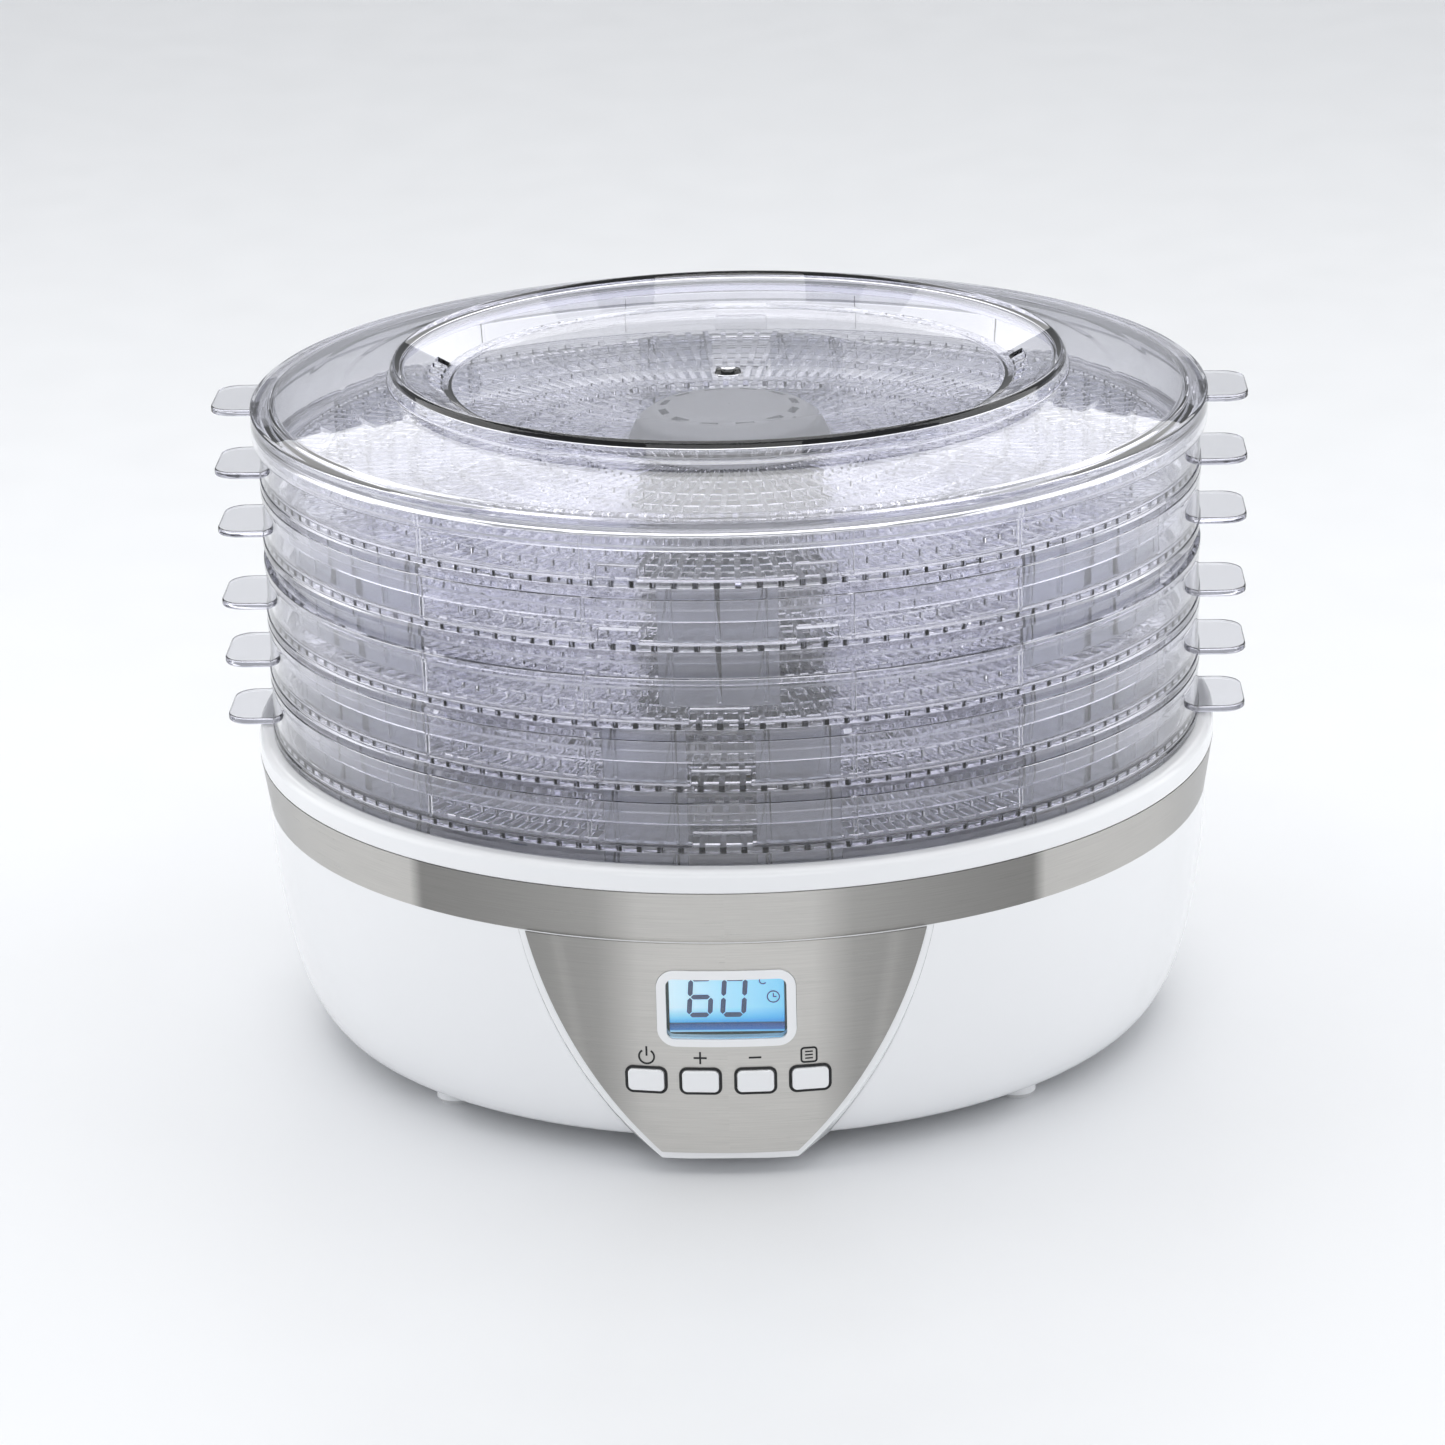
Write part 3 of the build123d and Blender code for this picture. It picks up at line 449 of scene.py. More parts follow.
# ---- pieces of a tray ------------------------------------------------------
def tray_ring(sizes):
    """Wall with a rim bead and a foot bead, the ledge for the floor, and the hanging skirt."""
    r, top, floor = sizes.wall_radius, sizes.wall_height, sizes.floor_top
    inner = r - sizes.wall_thickness
    skirt_in = sizes.skirt_radius - 2 * MM
    under = floor - sizes.floor_thickness
    waist = r - 0.45 * MM
    ledge = 150 * MM
    outline = [(r, 0), (r, 2.4 * MM), (waist, 3.1 * MM), (waist, top - 3.4 * MM),
               (r, top - 2.8 * MM), (r, top), (inner, top), (inner, floor + 1.5 * MM),
               (inner - 1.5 * MM, floor), (ledge, floor), (ledge, under), (skirt_in, under),
               (skirt_in, -sizes.skirt_drop),
               (sizes.skirt_radius, -sizes.skirt_drop), (sizes.skirt_radius, -1.0 * MM),
               (sizes.skirt_radius + 0.8 * MM, 0)]
    return lathe(rounded(outline, 0.45 * MM))


def grid_plate(sizes):
    """Floor of bars and rings: a plane grid wrapped into a disc, opened up and given depth."""
    half_bar = sizes.bar_width / 2
    columns = 2 * sizes.bars
    gaps = len(FLOOR_RINGS) - 1
    mesh = bmesh.new()
    bmesh.ops.create_grid(mesh, x_segments=columns, y_segments=gaps, size=0.5)
    for vert in mesh.verts:
        column = round((vert.co.x + 0.5) * columns)
        radius = FLOOR_RINGS[round((vert.co.y + 0.5) * gaps)] * MM
        side = 1 if column % 2 else -1
        angle = 2 * math.pi * (column // 2) / sizes.bars + side * math.asin(half_bar / radius)
        vert.co = (radius * math.sin(angle), -radius * math.cos(angle), sizes.floor_top)
    bmesh.ops.remove_doubles(mesh, verts=mesh.verts, dist=1e-6)

    def place_of(face):
        """A face's radius in mm, its place round the disc in bars, and whether a gap holds it."""
        middle = face.calc_center_median()
        radius = middle.to_2d().length / MM
        turn = math.atan2(middle.x, -middle.y) / (2 * math.pi) * sizes.bars
        return radius, turn, sum(radius > ring for ring in FLOOR_RINGS) % 2 == 0

    holes = []
    for face in mesh.faces:
        _, turn, in_gap = place_of(face)
        if in_gap and 0.25 < turn % 1 < 0.75:
            holes.append(face)
    bmesh.ops.delete(mesh, geom=holes, context="FACES")
    # Near the hub every other bar is left out
    spare_bars = []
    for face in mesh.faces:
        radius, turn, in_gap = place_of(face)
        if in_gap and FLOOR_RINGS[1] < radius < FLOOR_RINGS[6] and round(turn) % 2:
            spare_bars.append(face)
    bmesh.ops.delete(mesh, geom=spare_bars, context="FACES")
    lower = bmesh.ops.extrude_face_region(mesh, geom=mesh.faces[:])
    bmesh.ops.translate(mesh, vec=(0, 0, -sizes.floor_thickness),
                        verts=[e for e in lower["geom"] if isinstance(e, bmesh.types.BMVert)])
    bmesh.ops.recalc_face_normals(mesh, faces=mesh.faces)
    return mesh


def finger_tab(reach, width, inner, thickness, height):
    """One tab, pointing along +X, with round outer corners and eased edges."""
    mesh = bmesh.new()
    bmesh.ops.create_grid(mesh, x_segments=1, y_segments=1, size=0.5,
                          matrix=Matrix.Translation(((reach + inner) / 2, 0, height))
                          @ Matrix.Diagonal((reach - inner, width, 1, 1)))
    tips = [vert for vert in mesh.verts if vert.co.x > inner + 1 * MM]
    bmesh.ops.bevel(mesh, geom=tips, offset=8 * MM, offset_type="OFFSET", affect="VERTICES",
                    segments=8, profile=0.5, material=-1)
    upper = bmesh.ops.extrude_face_region(mesh, geom=mesh.faces[:])
    bmesh.ops.translate(mesh, vec=(0, 0, thickness),
                        verts=[e for e in upper["geom"] if isinstance(e, bmesh.types.BMVert)])
    rims = [edge for edge in mesh.edges if abs(edge.verts[0].co.z - edge.verts[1].co.z) < 1e-7
            and max(vert.co.x for vert in edge.verts) > inner + 1e-5]
    bmesh.ops.bevel(mesh, geom=rims, offset=0.6 * MM, offset_type="OFFSET", affect="EDGES",
                    segments=3, profile=0.5, material=-1)
    bmesh.ops.recalc_face_normals(mesh, faces=mesh.faces)
    return mesh


def both_tabs(reach, width, inner, thickness, height):
    """The right and left tabs, as two meshes."""
    right = finger_tab(reach, width, inner, thickness, height)
    return right, moved(right, Matrix.Rotation(math.pi, 4, "Z"))


def ease_edges(mesh, width):
    """Small round on every sharp edge."""
    sharp = [edge for edge in mesh.edges if edge.calc_face_angle(0.0) > math.radians(60)]
    bmesh.ops.bevel(mesh, geom=sharp, offset=width, offset_type="OFFSET", affect="EDGES",
                    segments=2, profile=0.5, material=-1)
    return mesh


def stacking_lugs(sizes):
    """Lugs that hang behind the skirt: a split wide one, a narrow one, and four at the sides."""
    r_out = sizes.skirt_radius - 2.1 * MM
    r_in = r_out - 1.5 * MM
    high = sizes.floor_top - sizes.floor_thickness - 0.1 * MM
    panels = bmesh.new()
    for bearing, arc in ((-9, 10), (9, 10), (180, 14), *((side, 28) for side in SIDE_LUGS)):
        arc_panel(panels, bearing, arc, r_in, r_out, -sizes.lug_drop, high)
    ribs = bmesh.new()
    rib_height = high + sizes.lug_drop - 1.2 * MM
    for centre, offsets in ((0, (-12.6, -5.4, 5.4, 12.6)), (180, (-5.5, 0, 5.5)),
                            *((side, (-12.5, -7.5, -2.5, 2.5, 7.5, 12.5)) for side in SIDE_LUGS)):
        for offset in offsets:
            box_at(ribs, centre + offset, r_in - 0.6 * MM, (1.3 * MM, 2.0 * MM, rib_height),
                   high - 0.3 * MM - rib_height / 2)
    return ease_edges(combine(ease_edges(panels, 0.25 * MM), "UNION", ribs), 0.2 * MM)


def stop_blocks(sizes):
    """The three blocks on which a turned tray's lugs stand."""
    mesh = bmesh.new()
    r_out = sizes.wall_radius - sizes.wall_thickness + 0.5 * MM
    for bearing, arc in ((0, 7), (168.5, 5), (191.5, 5)):
        arc_panel(mesh, bearing, arc, 152.6 * MM, r_out, sizes.floor_top - 0.7 * MM,
                  sizes.floor_top + 5 * MM)
    return ease_edges(mesh, 0.3 * MM)


def wall_posts(sizes):
    """Slim upright posts inside the wall, each side of the clear stretches."""
    mesh = bmesh.new()
    r_post = sizes.wall_radius - sizes.wall_thickness - 0.3 * MM
    low, high = sizes.floor_top - 0.4 * MM, sizes.wall_height - 0.6 * MM
    for side in (0, 180):
        for offset in (-37, -15.5, 15.5, 37):
            box_at(mesh, side + offset, r_post, (1.3 * MM, 1.2 * MM, high - low), (low + high) / 2)
    return ease_edges(mesh, 0.25 * MM)


def air_hub(sizes):
    """Frosted cone in the middle of a tray, with a ring of slots in its top."""
    foot, height, floor = sizes.hub_radius, sizes.hub_height, sizes.floor_top
    top = floor + height
    outline = [(0, top + 0.3 * MM), (18 * MM, top), (26 * MM, top - 1.2 * MM),
               (31 * MM, top - 4.5 * MM), (foot, floor), (foot, floor - 1.9 * MM),
               (foot - 1.9 * MM, floor - 1.9 * MM),
               (29.2 * MM, top - 6 * MM), (25 * MM, top - 3.2 * MM), (18 * MM, top - 2 * MM),
               (0, top - 1.7 * MM)]
    shell = lathe(rounded(outline, 1.2 * MM), steps=120)
    slots = bmesh.new()
    for k in range(12):
        box_at(slots, 30 * k + 15, 22.5 * MM, (6.5 * MM, 2.6 * MM, 8 * MM), top - 1 * MM)
    return combine(shell, "DIFFERENCE", slots)


class DEHYDRATOR_OT_trays(bpy.types.Operator):
    """Build the five stacking trays with their grid floors and hubs"""

    bl_idname = "dehydrator.build_trays"
    bl_label = "Build trays"

    def execute(self, context):
        sizes = context.scene.dehydrator_tray_sizes
        clear = bpy.data.materials["water_clear_san"]
        frosted = bpy.data.materials["frosted_san"]
        satin = bpy.data.materials["satin_san"]
        tabs = both_tabs(sizes.tab_reach, sizes.tab_width, sizes.wall_radius - 1.2 * MM,
                         TAB_THICKNESS, 0)
        shell = combine(tray_ring(sizes), "UNION", grid_plate(sizes), stop_blocks(sizes),
                        wall_posts(sizes), *tabs)
        lugs = stacking_lugs(sizes)
        hub = air_hub(sizes)
        for number in range(1, 6):
            name = f"tray_{number}"
            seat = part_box(name)[1].z - sizes.wall_height
            turn = math.pi if name in TURNED_TRAYS else 0
            place = Matrix.Translation((0, 0, seat)) @ Matrix.Rotation(turn, 4, "Z")
            finish_piece(to_object(moved(shell, place), f"tray_shell_{number}"), clear, name,
                         "clear_san", name)
            finish_piece(to_object(moved(hub, place), f"tray_hub_{number}"), frosted, name,
                         "clear_san")
            finish_piece(to_object(moved(lugs, place), f"tray_lugs_{number}"), satin, name,
                         "clear_san")
        for part in (shell, hub, lugs):
            part.free()
        return {"FINISHED"}


# ---- rim of the base -------------------------------------------------------
class DEHYDRATOR_OT_rim(bpy.types.Operator):
    """Build the white rim of the base with its soft edges"""

    bl_idname = "dehydrator.build_rim"
    bl_label = "Build rim"

    def execute(self, context):
        low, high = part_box("rim_ring")
        outer, skirt_top = high.y, BAND_HIGH.z
        pocket = 156.1 * MM
        outline = [(outer, skirt_top), (outer, high.z - 1.6 * MM),
                   (outer - 1.8 * MM, high.z - 0.1 * MM), (pocket + 1.0 * MM, high.z),
                   (pocket, high.z - 0.8 * MM), (pocket, low.z),
                   (pocket + 1.8 * MM, low.z), (pocket + 1.8 * MM, high.z - 2.4 * MM),
                   (outer - 2.0 * MM, high.z - 2.4 * MM), (outer - 2.0 * MM, skirt_top)]
        finish_piece(to_object(lathe(rounded(outline, 1.0 * MM)), "base_rim"),
                     bpy.data.materials["gloss_abs"], "base", "white_abs", "rim_ring")
        return {"FINISHED"}


# ---- lid -------------------------------------------------------------------
class DEHYDRATOR_OT_lid(bpy.types.Operator):
    """Build the clear lid with its raised ring, recess, vents and tabs"""

    bl_idname = "dehydrator.build_lid"
    bl_label = "Build lid"

    def execute(self, context):
        sizes = context.scene.dehydrator_tray_sizes
        r = LID_HIGH.y
        crown = LID_HIGH.z
        edge = crown - 12.1 * MM
        skirt_in = sizes.wall_radius + 0.6 * MM
        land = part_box("tray_1")[1].z + 0.3 * MM
        rise = [(154, 0.9), (143, 2.6), (130, 4.4), (119, 5.7), (114.2, 6.3)]
        outline = [(r, LID_LOW.z), (r, edge - 0.4 * MM), (r - 1.0 * MM, edge)]
        outline += [(x * MM, edge + h * MM) for x, h in rise]
        # Raised ring, the recess inside it with its middle knob, and back along the under side
        ring = [(113.0, 0.9), (111.9, 0.0), (110.7, 0.5), (96, 7.8), (93.5, 8.6), (60, 8.1),
                (4.6, 7.8), (4.0, 6.4), (2.6, 5.8), (0, 5.7), (0, 10.0), (60, 10.3), (92.8, 10.9),
                (109.4, 3.2), (110.9, 3.0)]
        outline += [(x * MM, crown - drop * MM) for x, drop in ring]
        outline += [((x - 2.0) * MM, edge + (h - 2.2) * MM) for x, h in reversed(rise)]
        outline += [(152.6 * MM, land + 1.6 * MM), (153.4 * MM, land), (skirt_in, land),
                    (skirt_in, LID_LOW.z)]
        shell = lathe(rounded(outline, 0.5 * MM), steps=320)
        tabs = both_tabs(sizes.tab_reach, sizes.tab_width, sizes.wall_radius + 1.0 * MM,
                         TAB_THICKNESS, edge - 4.0 * MM)
        shell = combine(shell, "UNION", *tabs)
        vents = bmesh.new()
        for side in (90, 270):
            for offset in (-9, -4.5, 0, 4.5, 9):
                box_at(vents, side + offset, 98.5 * MM, (4.6 * MM, 4.2 * MM, 14 * MM),
                       crown - 5 * MM)
        shell = combine(shell, "DIFFERENCE", vents)
        finish_piece(to_object(shell, "lid_shell"), bpy.data.materials["water_clear_san"], "lid",
                     "clear_san", "lid")
        return {"FINISHED"}


# ---- control panel ---------------------------------------------------------
def panel_radius(height):
    """Radius of the panel's face at a height: a cone, widest at its top."""
    low, high = FASCIA_LOW.z, FASCIA_HIGH.z
    wide = -FASCIA_LOW.y
    narrow = wide - (high - low) * 3 / 73
    return narrow + (wide - narrow) * (height - low) / (high - low)


def wrap_on_panel(mesh, proud):
    """Bends flat work, drawn in X and Z with Y as its depth, on to the panel's face."""
    for vert in mesh.verts:
        radius = panel_radius(vert.co.z) + proud - vert.co.y
        angle = vert.co.x / panel_radius(vert.co.z)
        vert.co = (radius * math.sin(angle), -radius * math.cos(angle), vert.co.z)


def flat_bar(mesh, x, z, width, height, turn=0.0, depth=0.12 * MM):
    """Adds a thin bar that lies in the XZ plane."""
    place = (Matrix.Translation((x, 0, z)) @ Matrix.Rotation(turn, 4, "Y")
             @ Matrix.Diagonal((width, depth, height, 1)))
    bmesh.ops.create_cube(mesh, size=1.0, matrix=place)


def flat_arc(mesh, x, z, radius, width, start=0.0, arc=360.0, depth=0.12 * MM):
    """Adds a thin ring, or part of one, that lies in the XZ plane."""
    steps = max(6, round(arc / 12))
    first = mesh.verts.new((x + radius - width / 2, -depth / 2, z))
    corners = [first] + [mesh.verts.new((x + radius + dx, dy, z)) for dx, dy in
                         ((width / 2, -depth / 2), (width / 2, depth / 2), (-width / 2, depth / 2))]
    face = mesh.faces.new(corners)
    geom = [face, *face.edges, *corners]
    bmesh.ops.rotate(mesh, verts=corners, cent=(x, 0, z),
                     matrix=Matrix.Rotation(math.radians(-start), 3, "Y"))
    if arc == 360.0:
        mesh.faces.remove(face)
        geom = [*corners, *{edge for corner in corners for edge in corner.link_edges}]
    bmesh.ops.spin(mesh, geom=geom, cent=(x, 0, z), axis=(0, -1, 0), angle=math.radians(arc),
                   steps=steps, use_merge=arc == 360.0)


def power_symbol(mesh, x, z):
    """Ring open at its top, with an upright bar."""
    flat_arc(mesh, x, z, 2.45 * MM, STROKE, start=125, arc=290)
    flat_bar(mesh, x, z + 1.9 * MM, STROKE, 3.3 * MM)


def plus_symbol(mesh, x, z):
    """Level bar with two upright stubs that don't cross it."""
    flat_bar(mesh, x, z, 4.2 * MM, STROKE)
    for side in (-1, 1):
        flat_bar(mesh, x, z + side * 1.21 * MM, STROKE, 1.78 * MM)


def minus_symbol(mesh, x, z):
    """Level bar."""
    flat_bar(mesh, x, z, 4.0 * MM, STROKE)


def menu_symbol(mesh, x, z):
    """Rounded square with three lines."""
    half, corner = 2.45 * MM, 0.9 * MM
    for side in (-1, 1):
        flat_bar(mesh, x, z + side * half, 2 * (half - corner), STROKE)
        flat_bar(mesh, x + side * half, z, STROKE, 2 * (half - corner))
    for index, (sx, sz) in enumerate(((1, 1), (-1, 1), (-1, -1), (1, -1))):
        flat_arc(mesh, x + sx * (half - corner), z + sz * (half - corner), corner, STROKE,
                 start=90 * index, arc=90)
    for row in (-1, 0, 1):
        flat_bar(mesh, x, z + row * 1.15 * MM, 2.5 * MM, 0.45 * MM)


def segment(mesh, x, z, length, upright, lean):
    """One six-sided bar of a seven-segment digit; lean shears it sideways."""
    half, wide, tip = length / 2, 0.78 * MM, 0.78 * MM
    shape = [(-half, 0), (-half + tip, wide), (half - tip, wide), (half, 0), (half - tip, -wide),
             (-half + tip, -wide)]
    corners = []
    for a, b in shape:
        dx, dz = (b, a) if upright else (a, b)
        corners.append(mesh.verts.new((x + dx + lean * (z + dz), -0.06 * MM, z + dz)))
    face = mesh.faces.new(corners)
    back = bmesh.ops.extrude_face_region(mesh, geom=[face])
    bmesh.ops.translate(mesh, vec=(0, 0.12 * MM, 0),
                        verts=[e for e in back["geom"] if isinstance(e, bmesh.types.BMVert)])


def digit(mesh, x, z, bars):
    """A seven-segment digit centred on x, z, with the lit bars named a to g."""
    half_w, half_h = 3.3 * MM, 6.1 * MM
    for name in bars:
        across, up, upright = DIGIT_BARS[name]
        length = (half_h if upright else 2 * half_w) - 0.5 * MM
        segment(mesh, x + across * half_w, z + up * half_h, length, upright, DIGIT_LEAN)


class DEHYDRATOR_OT_panel(bpy.types.Operator):
    """Build the printed symbols, the lit display and its digits"""

    bl_idname = "dehydrator.build_panel"
    bl_label = "Build control panel"

    def execute(self, context):
        black = bpy.data.materials["screen_print"]
        symbols = bmesh.new()
        row = BUTTON_TOP + 4.3 * MM
        for name, draw in zip(BUTTONS, (power_symbol, plus_symbol, minus_symbol, menu_symbol)):
            low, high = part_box(f"button_{name}")
            middle = (low + high) / 2
            arc = math.atan2(middle.x, -middle.y) * panel_radius(row)
            draw(symbols, arc, row)
        wrap_on_panel(symbols, 0.04 * MM)
        finish_piece(to_object(symbols, "panel_symbols"), black, "base", "black_print")

        middle = (SCREEN_LOW + SCREEN_HIGH) / 2
        screen = bmesh.new()
        size = SCREEN_HIGH - SCREEN_LOW
        bmesh.ops.create_cube(screen, size=1.0, matrix=Matrix.Translation(middle)
                              @ Matrix.Diagonal((size.x, size.y, size.z, 1)))
        bmesh.ops.bevel(screen, geom=screen.edges[:], offset=0.4 * MM, offset_type="OFFSET",
                        affect="EDGES", segments=2, profile=0.5, material=-1)
        finish_piece(to_object(screen, "lcd_screen"), bpy.data.materials["lit_display"], "base",
                     "lcd_glass", "lcd_module")
        marks = bmesh.new()
        digit(marks, -8.4 * MM, 2.6 * MM, "acdefg")
        digit(marks, 2.2 * MM, 2.6 * MM, "abcdef")
        flat_arc(marks, 11.6 * MM, 8.0 * MM, 1.1 * MM, 0.4 * MM, start=40, arc=280)
        flat_arc(marks, 9.6 * MM, 9.0 * MM, 0.45 * MM, 0.25 * MM)
        flat_arc(marks, 14.8 * MM, 2.5 * MM, 1.9 * MM, 0.38 * MM)
        flat_bar(marks, 14.8 * MM, 3.1 * MM, 0.38 * MM, 1.2 * MM)
        flat_bar(marks, 15.3 * MM, 2.5 * MM, 1.0 * MM, 0.38 * MM)
        bmesh.ops.translate(marks, vec=(middle.x, SCREEN_LOW.y - 0.1 * MM, middle.z),
                            verts=marks.verts)
        finish_piece(to_object(marks, "lcd_marks"), bpy.data.materials["lcd_segments"], "base",
                     "black_print")
        return {"FINISHED"}


# ---- finishes of everything ------------------------------------------------
def lit_display(colour):
    """Backlit display: near white at the upper left, sky blue to the right, a deep blue foot."""
    material, tree, shader = start_material("lit_display", colour, roughness=0.25,
                                            emission_strength=0.55)
    place = add_node(tree, "ShaderNodeTexCoord")
    split = add_node(tree, "ShaderNodeSeparateXYZ", links={"Vector": place.outputs["Object"]})
    across = add_node(tree, "ShaderNodeMapRange", links={"Value": split.outputs["X"]},
                      inputs={"From Min": SCREEN_LOW.x, "From Max": SCREEN_HIGH.x})
    wash = add_node(tree, "ShaderNodeValToRGB", links={"Fac": across.outputs["Result"]})
    wash.color_ramp.elements[0].color = linear("DDF3F8")
    wash.color_ramp.elements[1].color = linear("86D3F2")
    middle = wash.color_ramp.elements.new(0.45)
    middle.color = linear("B4E6F8")
    up = add_node(tree, "ShaderNodeMapRange", links={"Value": split.outputs["Z"]},
                  inputs={"From Min": SCREEN_LOW.z, "From Max": SCREEN_HIGH.z})
    foot = add_node(tree, "ShaderNodeValToRGB", links={"Fac": up.outputs["Result"]})
    stops = foot.color_ramp.elements
    stops[0].position, stops[0].color = 0.0, linear("E6F6FC")
    stops[1].position, stops[1].color = 0.45, linear("FFFFFF")
    for position, shade in ((0.035, "9CCDE6"), (0.05, "1A6FB0"), (0.14, "0E4F86"),
                            (0.165, "0B2F52"), (0.19, "4CB6E4"), (0.27, "9ADBF6")):
        stops.new(position).color = linear(shade)
    blend = add_node(tree, "ShaderNodeMix", data_type="RGBA", blend_type="MULTIPLY",
                     inputs={0: 1.0}, links={6: wash.outputs["Color"], 7: foot.outputs["Color"]})
    for socket in ("Base Color", "Emission Color"):
        tree.links.new(blend.outputs[2], shader.inputs[socket])
    return material


class DEHYDRATOR_OT_finishes(bpy.types.Operator):
    """Make the finishes and dress the casing, the panel and the works inside"""

    bl_idname = "dehydrator.make_finishes"
    bl_label = "Make finishes"

    def execute(self, context):
        colours = context.scene.dehydrator_colours
        white = gloss_abs(colours.casing)
        steel = brushed_stainless(colours.steel)
        clear_san(colours.clear, colours.clear_depth)
        frosted_san("frosted_san", "F7F8FB", 0.38, 0.35)
        frosted_san("satin_san", "F2F4FC", 0.22, 0.9)
        lit_display(colours.screen)
        # Screen print: matt black ink, dense and slightly uneven
        black = grained("screen_print", colours.print_black, 0.4, 0.55, contrast=0.2, bump_mm=0.01)
        # Liquid-crystal bars: slate blue, as the lit glass shows them
        grained("lcd_segments", "4C5F85", 0.8, 0.5, contrast=0.08, bump_mm=0.005)
        dress(white, "base_bowl", "bottom_cover", "feet", "top_deck", "air_grille", "control_pod",
              "display_bezel", *(f"button_{name}" for name in BUTTONS))
        dress(steel, "steel_band", "steel_fascia")
        dress(black, "button_surrounds", "cable_inlet")
        dress(clear_lens(), "display_window")
        # Zinc-plated steel: bluish bright grey, softly mottled by the plating
        dress(grained("zinc_plated_steel", "A9ADB3", 1.2, 0.32, 1.0),
              "cover_screws", "deck_screws", "control_board_screws", "motor_screws",
              "power_board_screws", "motor_can", "fan_shaft", "fan_nut")
        # Mill-finish aluminium: dull silver from the rolling
        dress(grained("mill_aluminium", "C4C6C8", 2.5, 0.38, 1.0), "motor_bracket", "air_duct",
              "thermal_cutout")
        # Stainless sheath after heating: brown-grey temper colours
        dress(grained("heated_sheath", "6A625A", 4.0, 0.4, 1.0, contrast=0.3), "heater_element",
              "motor_rotor")
        # Enamelled copper wire: warm amber brown with a satin varnish
        dress(grained("enamelled_copper", "B5662F", 0.8, 0.35, 0.6, contrast=0.25), "motor_stator",
              "power_transformer")
        # Sintered bronze: matt, porous and oil dark
        dress(grained("sintered_bronze", "8A6A3C", 0.5, 0.55, 1.0, contrast=0.25), "motor_bushes")
        # Solder resist over glass fibre: deep green with a low sheen
        dress(grained("solder_resist", "1C5A36", 1.5, 0.3), "control_board", "power_board")
        # Glass-filled nylon: charcoal with a fibrous matt skin
        dress(grained("glass_filled_nylon", "2A2B2E", 0.9, 0.6, contrast=0.25), "fan_impeller",
              "button_switches", "power_capacitor", "mains_terminals", "temperature_sensor")
        # Relay case: blue moulded polyester, semi-matt
        dress(grained("relay_blue", "1F4F94", 1.0, 0.4), "power_relay")
        # Mica board: pressed flakes, brown gold
        dress(grained("mica_board", "A08A62", 2.0, 0.45, contrast=0.3, bump_mm=0.08),
              "heater_frame")
        # Diffuser sheet: milky white polycarbonate
        dress(grained("diffuser", "E4EDF4", 0.7, 0.5), "lcd_backlight")
        # Thermoplastic rubber: soft light grey, dull from handling
        dress(grained("grey_rubber", "C9CACC", 0.8, 0.75, contrast=0.08, bump_mm=0.05),
              "foot_pads")
        return {"FINISHED"}


# ---- stage -----------------------------------------------------------------
def soft_light(name, place, aim, width, height, watts):
    """Large soft panel that points at the aim."""
    data = bpy.data.lights.new(name, "AREA")
    data.shape, data.size, data.size_y, data.energy = "RECTANGLE", width, height, watts
    light = bpy.data.objects.new(name, data)
    bpy.context.scene.collection.objects.link(light)
    light.location = place
    light.rotation_euler = (Vector(aim) - Vector(place)).to_track_quat("-Z", "Y").to_euler()


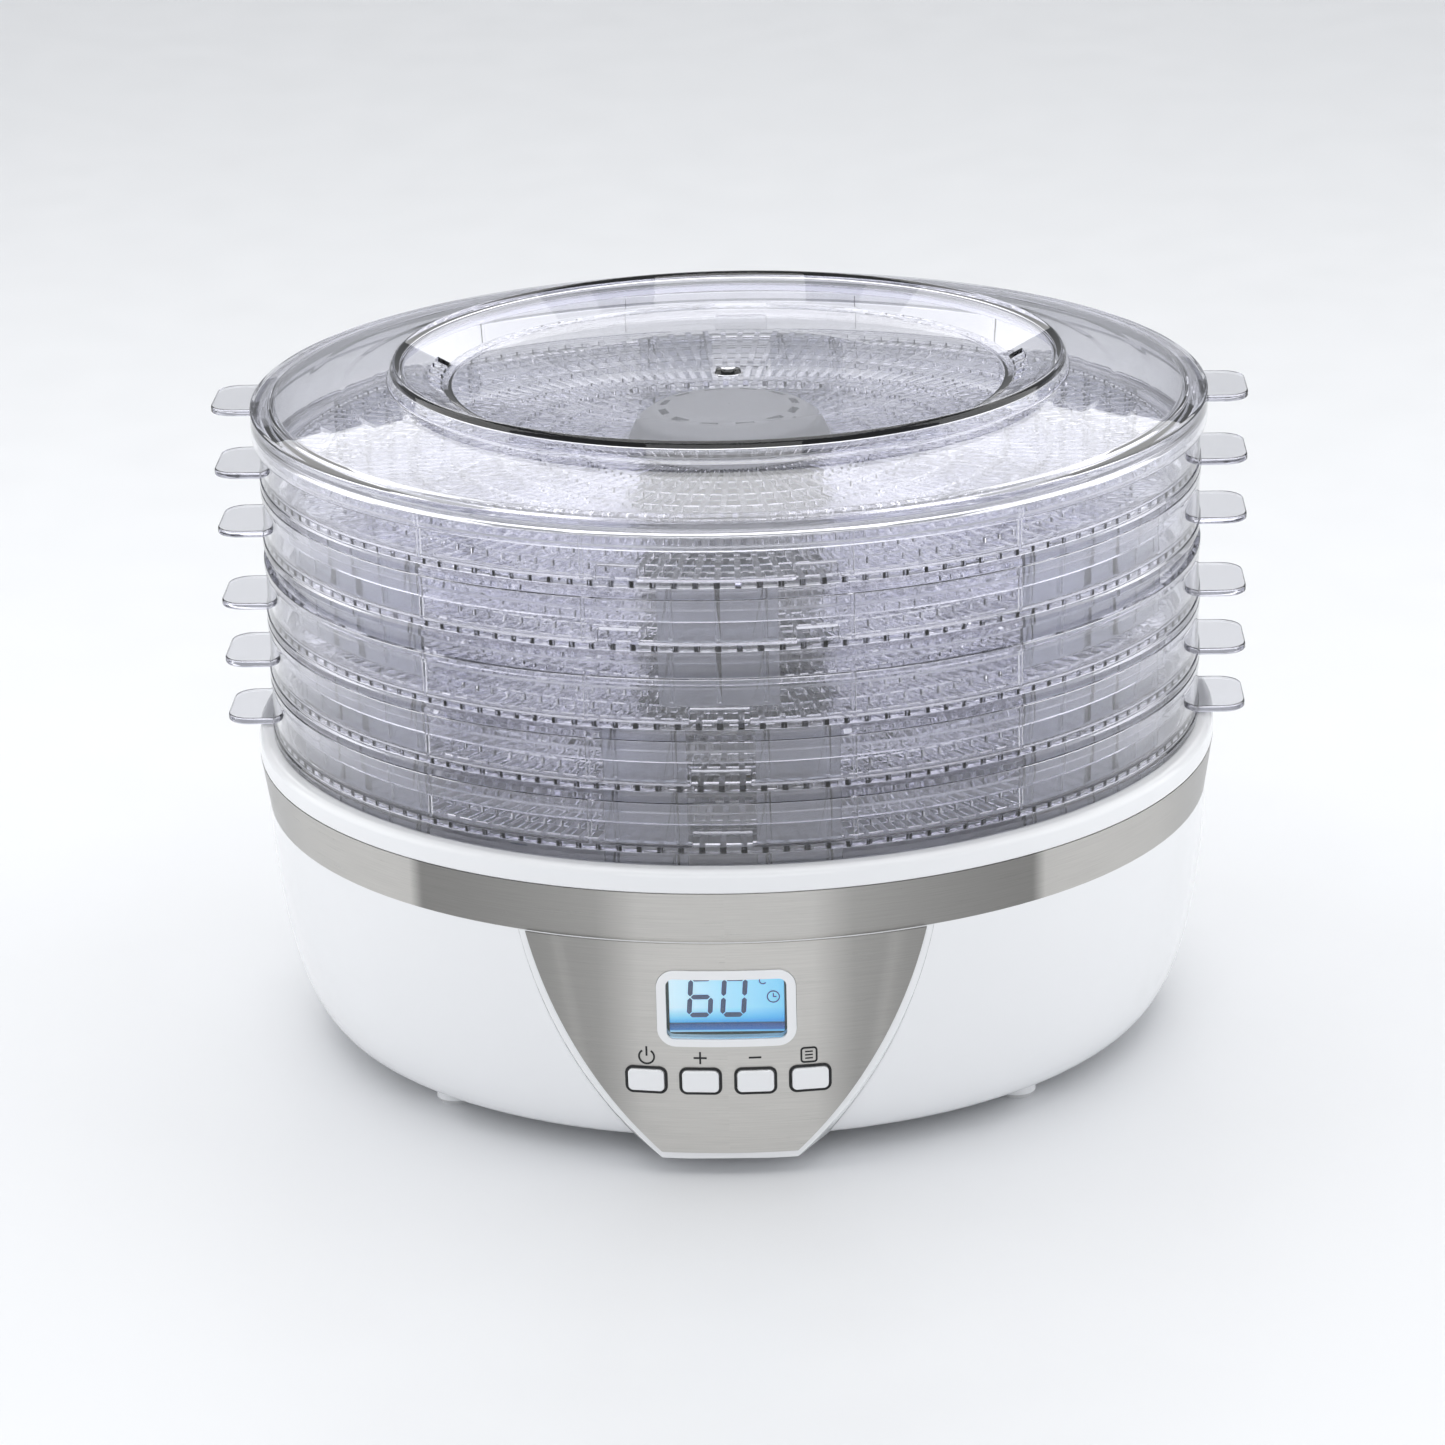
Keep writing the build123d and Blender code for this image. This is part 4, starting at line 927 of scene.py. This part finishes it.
class DEHYDRATOR_OT_stage(bpy.types.Operator):
    """Build the floor, the soft studio light and the camera"""

    bl_idname = "dehydrator.build_stage"
    bl_label = "Build stage"

    def execute(self, context):
        scene = context.scene
        floor = bmesh.new()
        bmesh.ops.create_grid(floor, x_segments=8, y_segments=8, size=6.0)
        ground = to_object(floor, "studio_floor")
        # Satin-painted board: pale, with a wide weak sheen
        board = grained("painted_board", "E6E7E9", 40, 0.42, contrast=0.01, bump_mm=0.01)
        ground.data.materials.append(board)

        world = bpy.data.worlds.new("studio")
        world.use_nodes = True
        world.node_tree.nodes["Background"].inputs["Color"].default_value = linear("F1F4F8")
        world.node_tree.nodes["Background"].inputs["Strength"].default_value = 0.42
        scene.world = world
        for light in SOFT_LIGHTS:
            soft_light(*light)

        turn = Matrix.Rotation(CAMERA_TURN, 3, "Z")
        right, forward = turn @ CAMERA_RIGHT, turn @ CAMERA_FORWARD
        axes = Matrix((right, right.cross(forward), -forward)).transposed().to_4x4()
        camera = bpy.data.objects.new("camera", bpy.data.cameras.new("camera"))
        scene.collection.objects.link(camera)
        camera.matrix_world = Matrix.Translation(CAMERA_AIM - forward * CAMERA_DISTANCE) @ axes
        camera.data.lens = CAMERA_LENS
        camera.data.sensor_width = 36.0
        camera.data.shift_x = CAMERA_SHIFT
        camera.data.clip_end = 100.0
        scene.camera = camera

        scene.view_settings.view_transform = "Standard"
        scene.cycles.max_bounces = 32
        scene.cycles.transmission_bounces = 32
        scene.cycles.glossy_bounces = 8
        scene.cycles.diffuse_bounces = 5
        return {"FINISHED"}


# ---- panel in the sidebar, and running -------------------------------------
OPERATORS = (DEHYDRATOR_OT_stage, DEHYDRATOR_OT_finishes, DEHYDRATOR_OT_rim, DEHYDRATOR_OT_trays,
             DEHYDRATOR_OT_lid, DEHYDRATOR_OT_panel)


class DEHYDRATOR_PT_sidebar(bpy.types.Panel):
    """Lists the sizes, the colours and the builders"""

    bl_idname = "DEHYDRATOR_PT_sidebar"
    bl_label = "Food dehydrator"
    bl_space_type = "VIEW_3D"
    bl_region_type = "UI"
    bl_category = "Dehydrator"

    def draw(self, context):
        for group in (context.scene.dehydrator_tray_sizes, context.scene.dehydrator_colours):
            for name in group.bl_rna.properties.keys():
                if name not in ("rna_type", "name"):
                    self.layout.prop(group, name)
        for operator in OPERATORS:
            self.layout.operator(operator.bl_idname)


CLASSES = (DehydratorTraySizes, DehydratorColours, *OPERATORS, DEHYDRATOR_PT_sidebar)


def register():
    for item in CLASSES:
        bpy.utils.register_class(item)
    bpy.types.Scene.dehydrator_tray_sizes = bpy.props.PointerProperty(type=DehydratorTraySizes)
    bpy.types.Scene.dehydrator_colours = bpy.props.PointerProperty(type=DehydratorColours)


def unregister():
    del bpy.types.Scene.dehydrator_tray_sizes
    del bpy.types.Scene.dehydrator_colours
    for item in reversed(CLASSES):
        bpy.utils.unregister_class(item)


def main():
    register()
    for operator in OPERATORS:
        group, name = operator.bl_idname.split(".")
        getattr(getattr(bpy.ops, group), name)()


if __name__ == "__main__":
    main()
